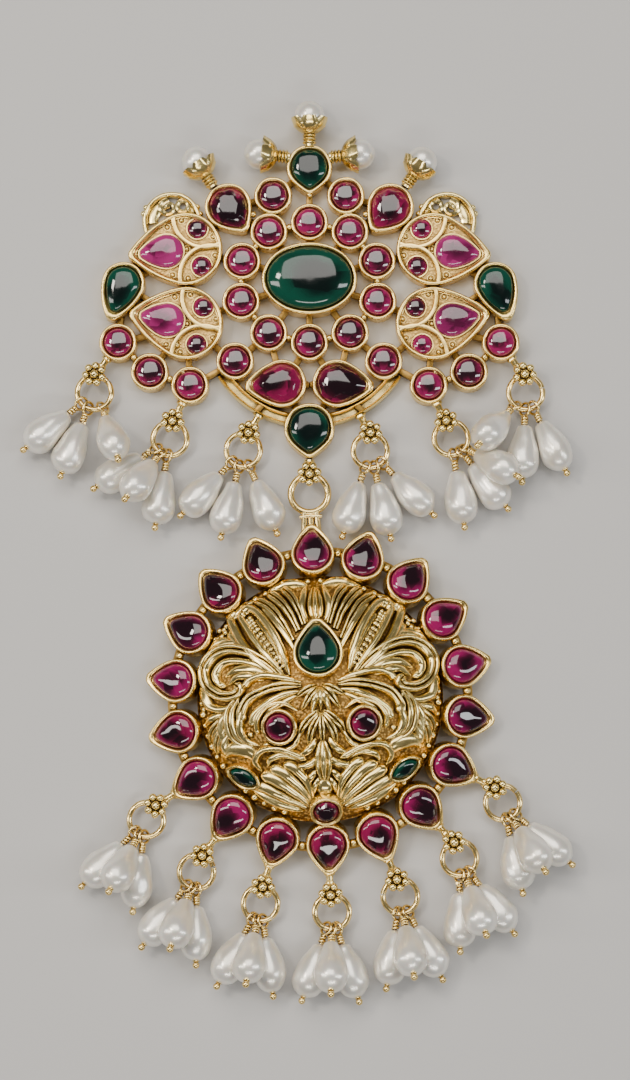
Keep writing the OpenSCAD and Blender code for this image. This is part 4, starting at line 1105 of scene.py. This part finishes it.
linkPiece = bmesh.new()
top = layPendant @ moved(0, pendant["drop"], ring["height"])
addStrands(linkPiece, [(circlePath(link["radius"], points=44), link["wire"], True)], 4, top)
forkLow, forkHigh = petalRing + 0.8 - pendant["drop"], 0.2 - link["radius"]
prongs = [([(s * 1.25, forkLow, 0), (s * 1.2, (forkLow + forkHigh) / 2, 0.05),
            (s * 0.95, forkHigh - abs(s) * 0.1, 0)], [0.5, 0.46, 0.5], False) for s in (-1, 0, 1)]
tieY = -link["radius"] - 0.6  # the short bar across the prongs
addStrands(linkPiece, prongs + [([(-1.75, tieY - 0.15, 0.1), (0, tieY, 0.25), (1.75, tieY - 0.15, 0.1)],
                                 [0.3, 0.42, 0.3], False)], 3, top)
unevenly(linkPiece, 0.04, 0.9)
finishPiece("pendantLink", linkPiece, "brightWire", ["pendant_setting"], 60)
print("pendant bezels and link made")


# Jump rings, drop wires and pearls.

drop = {
    "pearl": 5.4, "length": 8.8, "tip": 1.05, "eye": 1.05, "eyeWire": 0.24, "eyeLean": 42, "collar": 1.5,
    "wrapRadius": 0.4, "wrapPoints": 44, "shaft": 0.26, "ball": 0.55, "perch": 36,
    "cap": [(0, 0), (0.55, 0.02), (0.5, 0.2), (0.3, 0.3), (0, 0.3)],
    "pearlUneven": 0.22, "pearlRings": 30,
}
eyeReach = drop["eye"] + drop["collar"]
flatClimb = math.degrees(math.asin((drop["pearl"] / 2 + 0.06 - ring["height"]) /
                                   (eyeReach + drop["length"] - drop["pearl"] / 2)))


def ringPlaces(which):
    if which == "plaque":
        return [hookPlace(h) + polar(ring["radius"], d[0]) for h, d in zip(plaqueHooks, plaqueDrops)]
    return [layPendant @ pendantHook(i) + polar(ring["radius"], d[0]) for i, d in enumerate(pendantDrops)]


def dropSpots(which):
    drops = plaqueDrops if which == "plaque" else pendantDrops
    spots = []
    for centre, (_, three) in zip(ringPlaces(which), drops):
        for place, heading, perched in three:
            p = centre + polar(ring["radius"], place)
            climb = drop["perch"] if perched else flatClimb
            spots.append(moved(p.x, p.y, ring["height"]) @ turned(heading) @ turned(-climb, "Y"))
    return spots


def addDropWire(bm, spot, k):
    # an eye, a wrapped collar, a shaft through the pearl, a small cap and a ball end
    lean = math.radians(drop["eyeLean"] * (1 if k // 3 % 2 else -1))  # the eyes of one ring lean alike
    eye = [Vector((p.x, p.y * math.sin(lean), p.y * math.cos(lean)))
           for p in circlePath(drop["eye"], points=26)]
    wraps = []
    turns = 2.6 + 0.3 * (k % 3)
    for i in range(drop["wrapPoints"]):
        t = i / (drop["wrapPoints"] - 1)
        a = 2 * math.pi * turns * t + k
        wraps.append((drop["eye"] + 0.12 + (drop["collar"] - 0.2) * t, drop["wrapRadius"] * math.cos(a),
                      drop["wrapRadius"] * math.sin(a)))
    far = eyeReach + drop["length"]
    addStrands(bm, [(eye, drop["eyeWire"], True), (wraps, drop["eyeWire"] * 0.95, False),
                    ([(drop["eye"], 0, 0), (far + 0.2, 0, 0)], drop["shaft"], False)], 2, spot)
    addBall(bm, (far + drop["ball"] + 0.1, 0, 0), drop["ball"] * 1.02, 3, spot)
    addTurned(bm, drop["cap"], 16, spot @ moved(far - 0.12, 0) @ turned(90, "Y"))


def pearlProfile(k):
    # a slightly different teardrop for every drop
    r, tip = drop["pearl"] / 2 - 0.05 * (k % 3), drop["tip"]
    belly = 0.67 + 0.04 * math.sin(k * 2.1)
    out = []
    for i in range(drop["pearlRings"] + 1):
        t = 0.5 - 0.5 * math.cos(math.pi * i / drop["pearlRings"])
        if t < belly:
            x = tip + (r - tip) * math.sin(math.pi / 2 * t / belly) ** 1.15
            x *= min(t / 0.05, 1) ** 0.5
        else:
            x = r * max(1 - ((t - belly) / (1 - belly)) ** 2.15, 0) ** 0.5
        out.append((x, drop["length"] * t))
    return out


def addDropPearl(bm, spot, k):
    def build(part):
        addTurned(part, pearlProfile(k))
        widest = drop["pearl"] / 2
        for v in part.verts:
            n = noise.noise(v.co / 2.6 + Vector((k * 5.1, 0, 0)))
            v.co += Vector((v.co.x, v.co.y, 0)).normalized() * n * drop["pearlUneven"]
            flat = v.co.xy.length
            if flat > widest:
                v.co.x *= widest / flat
                v.co.y *= widest / flat
    addPart(bm, build, spot @ moved(eyeReach, 0) @ turned(90, "Y"))


for which in ("plaque", "pendant"):
    rings, wires, pearls = bmesh.new(), bmesh.new(), bmesh.new()
    for k, centre in enumerate(ringPlaces(which)):
        cut = 40 + 67 * k  # where the ring is open, in degrees
        addStrands(rings, [(circlePath(ring["radius"], cut + 1.5, cut + 358.5, 52), ring["wire"], False)],
                   4, moved(centre.x, centre.y, ring["height"]))
    for k, spot in enumerate(dropSpots(which)):
        addDropWire(wires, spot, k)
        addDropPearl(pearls, spot, k)
    unevenly(rings, 0.04, 1.2)
    finishPiece(which + "JumpRings", rings, "brightWire", [which + "_jump_rings"], 60)
    finishPiece(which + "DropWires", wires, "brightWire", [which + "_drop_wires"], 60)
    finishPiece(which + "Pearls", pearls, "pearlNacre", [which + "_pearls"], 70)

studPearls = bmesh.new()
for place in studs["places"]:
    bmesh.ops.create_uvsphere(studPearls, u_segments=40, v_segments=28, radius=studs["pearl"] / 2 - 0.04,
                              matrix=onPlaque(place, studZ) @ moved(studX, 0))
unevenly(studPearls, 0.03, 2.0)
finishPiece("studPearls", studPearls, "pearlNacre", ["stud_pearls"], 70)
print("rings, drops and pearls made")


# Stones.

stoneFoot, domeFoot = plaque["backThickness"] + plaque["gap"], -0.3
stoneCuts = {  # foot, girdle and top; then levels, fullness and waviness, or facets, table and soft edges
    "centre": (stoneFoot, 3.9, 5.7, 16, 0.66, 0.04), "top": (stoneFoot, 2.75, 3.75, 14, 0.7, 0.06),
    "bottom": (stoneFoot, 2.75, 3.8, 14, 0.7, 0.06), "side": (stoneFoot, 2.75, 3.8, 12, 0.66, 0.05),
    "cutPear": (stoneFoot, 2.75, 3.8, 8, 0.58, 0.12), "leaf": (stoneFoot, 2.6, 3.7, 12, 0.62, 0.06),
    "round": (stoneFoot, 2.65, 3.55, 11, 0.6, 0.07), "seed": (stoneFoot, 2.3, 3.15, 7),
    "petal": (stoneFoot, 2.1, 3.3, 14, 0.74, 0.05), "emerald": (domeFoot, 1.2, 2.7, 14, 0.95, 0.05),
    "ruby": (domeFoot, 1.25, 2.3, 11, 0.7, 0.05), "marquise": (domeFoot, 1.0, 1.6, 6),
    "low": (domeFoot, 1.95, 2.8, 8, 0.6, 0.12),
}
darkPetals = (8, 9, 10, 13, 16, 17)  # the darker stones of the ring, counted clockwise from the top
play = -0.02  # how far a stone stays inside its bezel
stoneCount = [0]


def cutStone(outline, low, girdle, high, facets, table, soft):
    # sliced from a block as a cutter would: main facets, small ones between them, then softened edges
    bm = bmesh.new()
    raisedBlock(bm, outline, low, high)
    reach = lambda a: max(p.dot(polar(1, a)) for p in outline)
    planes = []

    def addPlane(a, out, z, slope):
        planes.append((polar(reach(a) * out, a) + Vector((0, 0, z)), a, slope))

    step = 360 / facets
    slopeAt = lambda a: math.atan2(high - girdle, reach(a) * (1 - table))
    for k in range(facets):
        a = step * (k + 0.5)
        addPlane(a, table, high, slopeAt(a))
    for k in range(facets):
        a = step * k
        addPlane(a, table + 0.03, high, slopeAt(a) * 0.98)
        addPlane(a, table - 0.12, high, slopeAt(a) * 0.42)
    for k in range(2 * facets):
        addPlane(step / 2 * (k + 0.5), 0.985, girdle + 0.05, math.radians(58))
    for point, a, slope in planes:
        normal = polar(math.sin(slope), a) + Vector((0, 0, math.cos(slope)))
        bmesh.ops.bisect_plane(bm, geom=bm.verts[:] + bm.edges[:] + bm.faces[:], dist=0.0005,
                               plane_co=point, plane_no=normal, clear_outer=True)
        cutEdges = [e for e in bm.edges if e.is_boundary]
        if cutEdges:
            bmesh.ops.holes_fill(bm, edges=cutEdges, sides=0)
    bmesh.ops.remove_doubles(bm, verts=bm.verts, dist=0.01)
    bmesh.ops.dissolve_limit(bm, angle_limit=math.radians(1.5), verts=bm.verts, edges=bm.edges)
    sharp = [e for e in bm.edges if len(e.link_faces) == 2 and e.calc_face_angle(0) > math.radians(4)
             and min(v.co.z for v in e.verts) > low + 0.2]
    bmesh.ops.bevel(bm, geom=sharp, offset=soft, segments=2, profile=0.5, affect="EDGES", material=-1,
                    clamp_overlap=True)
    return bm


def domedStone(outline, low, girdle, high, levels=8, full=0.9, wave=0.0):
    # a cabochon: the girdle drawn in and up along an arc; a small full makes a flatter top
    bm = bmesh.new()
    middle = sum(outline, Vector()) / len(outline)
    rings = [(1, low), (1, girdle)]
    for i in range(1, levels + 1):
        a = math.radians(88 * i / levels)
        rings.append((math.cos(a) ** full, girdle + (high - girdle) * math.sin(a)))
    skinOutlines(bm, lambda part: [middle.lerp(p, part) for p in outline], rings)
    shift = Vector((stoneCount[0] * 3.7, 0, 0))
    for v in bm.verts:
        v.co.z += wave * noise.noise(v.co / 2.2 + shift) * min(max(v.co.z - girdle, 0) * 3, 1)
    return bm


def layStone(target, stone, matrix, length, width, shift):
    # gives the stone its own map from above, then adds it to the piece
    uv = stone.loops.layers.uv.new("plan")
    seed = stone.verts.layers.float.new("stoneSeed")
    stoneCount[0] += 1
    turn = math.radians(stoneCount[0] * 47)
    bmesh.ops.recalc_face_normals(stone, faces=stone.faces)
    for v in stone.verts:
        v[seed] = stoneCount[0] * 1.7
    for f in stone.faces:
        for loop in f.loops:
            x = (loop.vert.co.x - shift) / length
            y = loop.vert.co.y / width
            loop[uv].uv = (0.5 + x * math.cos(turn) - y * math.sin(turn),
                           0.5 + x * math.sin(turn) + y * math.cos(turn))
    stone.transform(matrix)
    if matrix.determinant() < 0:
        bmesh.ops.reverse_faces(stone, faces=stone.faces)
    mesh = bpy.data.meshes.new("stone")
    stone.to_mesh(mesh)
    stone.free()
    target.from_mesh(mesh)
    bpy.data.meshes.remove(mesh)


def stonePiece(name, stones, material, node):
    # each stone is (its mesh, its place, its length, its width, how far its middle lies along X)
    piece = bmesh.new()
    for stone in stones:
        layStone(piece, *stone)
    finishPiece(name, piece, material, [node], 24)


def pearStone(cut, size, matrix, shape=domedStone, grow=play):
    width, length = size
    stone = shape(pearOutline(width, length, grow), *stoneCuts[cut])
    return stone, matrix, length, width, (length - width) / 2


def roundStone(cut, diameter, matrix, shape=domedStone, grow=play, points=32):
    return shape(roundOutline(diameter, grow, points), *stoneCuts[cut]), matrix, diameter, diameter, 0


length, width = plaque["centreStone"]
stone = domedStone(ovalOutline(length, width, play, 72), *stoneCuts["centre"])
stonePiece("centreEmerald", [(stone, Matrix.Identity(4), length, width, 0)], "emeraldGlass",
           "centre_emerald")
for key in ("top", "bottom"):
    p = pearPlaces[key]
    stonePiece(key + "Emerald", [pearStone(key, p[3:], onPlaque(p))], "emeraldGlass",
               key + "_emerald")
for side, word in ((-1, "left"), (1, "right")):
    p = pearPlaces["side"]
    stone = pearStone("side", p[3:], onPlaque(p, 0, side), grow=0)
    stonePiece("sideEmerald" + word.capitalize(), [stone], "emeraldGlass",
               "side_emerald_" + word)
    for key in ("upper", "lower"):
        p = pearPlaces[key]
        stone = pearStone("cutPear", p[3:], onPlaque(p, 0, side), cutStone, 0)
        stonePiece(key + "Ruby" + word.capitalize(), [stone], "rubyDark", key + "_ruby_" + word)
        spot = onPlaque(leafPlaces[key], 0, side) @ moved(leafFrame["stoneAlong"] * leafW, 0)
        stonePiece("leafRuby" + key.capitalize() + word.capitalize(),
                   [pearStone("leaf", leafFrame["stone"], spot, grow=0)],
                   "rubyPale", "leaf_ruby_" + key + "_" + word)

roundStones, seedStones = [], []
for side in (1, -1):
    for place in placesOn(roundPlaces, side):
        spot = onPlaque(place, 0, side) @ turned(random.uniform(0, 45))
        roundStones.append(roundStone("round", plaque["roundStone"], spot, grow=-0.03))
    for place in leafPlaces.values():
        for s in (1, -1):
            p = Vector((leafFrame["seedAt"][0], leafFrame["seedAt"][1] * s, 0)) * leafW
            spot = onPlaque(place, 0, side) @ moved(p.x, p.y)
            seedStones.append(roundStone("seed", plaque["seedStone"], spot, grow=-0.04, points=28))
stonePiece("roundRubies", roundStones, "rubyDeep", "round_rubies")
stonePiece("seedRubies", seedStones, "rubyDeep", "seed_rubies")

for i in range(pendant["petals"]):
    stonePiece("petalRuby%d" % (i + 1), [pearStone("petal", (petalW, petalL), atPetal(i))],
               "rubyDark" if i in darkPetals else "rubyRose", "petal_ruby_%d" % (i + 1))
stonePiece("domeEmerald", [pearStone("emerald", domeStones["emerald"][2], domeSpot("emerald"))],
           "emeraldGlass", "dome_emerald")
for side, word in ((-1, "left"), (1, "right")):
    stonePiece("domeRuby" + word.capitalize(),
               [roundStone("ruby", *domeStones["ruby"][2], domeSpot("ruby", side))],
               "rubyDark", "dome_ruby_" + word)
    length, width = domeStones["marquise"][2]
    stone = domedStone(almondOutline(length, width, play), *stoneCuts["marquise"])
    stonePiece("marquiseEmerald" + word.capitalize(),
               [(stone, domeSpot("marquise", side), length, width, 0)],
               "emeraldGlass", "marquise_emerald_" + word)
stonePiece("lowRuby", [roundStone("low", *domeStones["low"][2], domeSpot("low"), cutStone)],
           "rubyDark", "low_ruby")
print("stones made:", stoneCount[0])


# Floor, light and camera.

studio = {"floorTone": (0.52, 0.51, 0.495), "lens": 100, "distance": 0.48, "elevation": 85,
          "lookAt": (0.0009, -0.0422, 0.003), "worldStrength": 0.14}

floorMesh = bmesh.new()
bmesh.ops.create_grid(floorMesh, x_segments=1, y_segments=1, size=1.6)
mesh = bpy.data.meshes.new("floor")
floorMesh.to_mesh(mesh)
floorMesh.free()
floorPiece = bpy.data.objects.new("floor", mesh)
bpy.context.scene.collection.objects.link(floorPiece)
mat, nodes, links, shader = newMaterial("floorPaper")
shader.inputs["Base Color"].default_value = (*studio["floorTone"], 1)
shader.inputs["Roughness"].default_value = 0.75
mesh.materials.append(mat)

world = bpy.data.worlds.new("studio")
bpy.context.scene.world = world
world.use_nodes = True
world.node_tree.nodes["Background"].inputs["Color"].default_value = (0.93, 0.95, 1.0, 1)
world.node_tree.nodes["Background"].inputs["Strength"].default_value = studio["worldStrength"]

softLights = [  # name, place, (width, depth), power, tone
    ("softBox", (-0.03, 0.36, 0.72), (0.64, 0.54), 4.8, (1.0, 0.955, 0.90)),
    ("keyLight", (-0.36, 0.14, 0.58), (0.12, 0.12), 1.5, (1.0, 0.92, 0.82)),
    ("leftStrip", (-0.52, -0.06, 0.42), (0.10, 0.50), 1.5, (1.0, 0.96, 0.90)),
    ("rightStrip", (0.52, -0.10, 0.46), (0.10, 0.50), 1.5, (0.94, 0.97, 1.0)),
    ("frontStrip", (0.05, -0.55, 0.50), (0.50, 0.08), 1.3, (1.0, 0.97, 0.93)),
]
for name, place, size, power, tone in softLights:
    data = bpy.data.lights.new(name, "AREA")
    data.shape = "RECTANGLE"
    data.size, data.size_y = size
    data.energy = power
    data.color = tone
    lamp = bpy.data.objects.new(name, data)
    lamp.location = place
    lamp.rotation_mode = "QUATERNION"
    lamp.rotation_quaternion = (Vector(studio["lookAt"]) - Vector(place)).to_track_quat("-Z", "Y")
    bpy.context.scene.collection.objects.link(lamp)

cameraData = bpy.data.cameras.new("camera")
cameraData.lens = studio["lens"]
cameraData.clip_start = 0.01
camera = bpy.data.objects.new("camera", cameraData)
e = math.radians(studio["elevation"])
target = Vector(studio["lookAt"])
back = Vector((0, -math.cos(e), math.sin(e)))
camera.location = target + back * studio["distance"]
camera.rotation_mode = "QUATERNION"
camera.rotation_quaternion = (-back).to_track_quat("-Z", "Y")
bpy.context.scene.collection.objects.link(camera)
bpy.context.scene.camera = camera

print("scene ready")
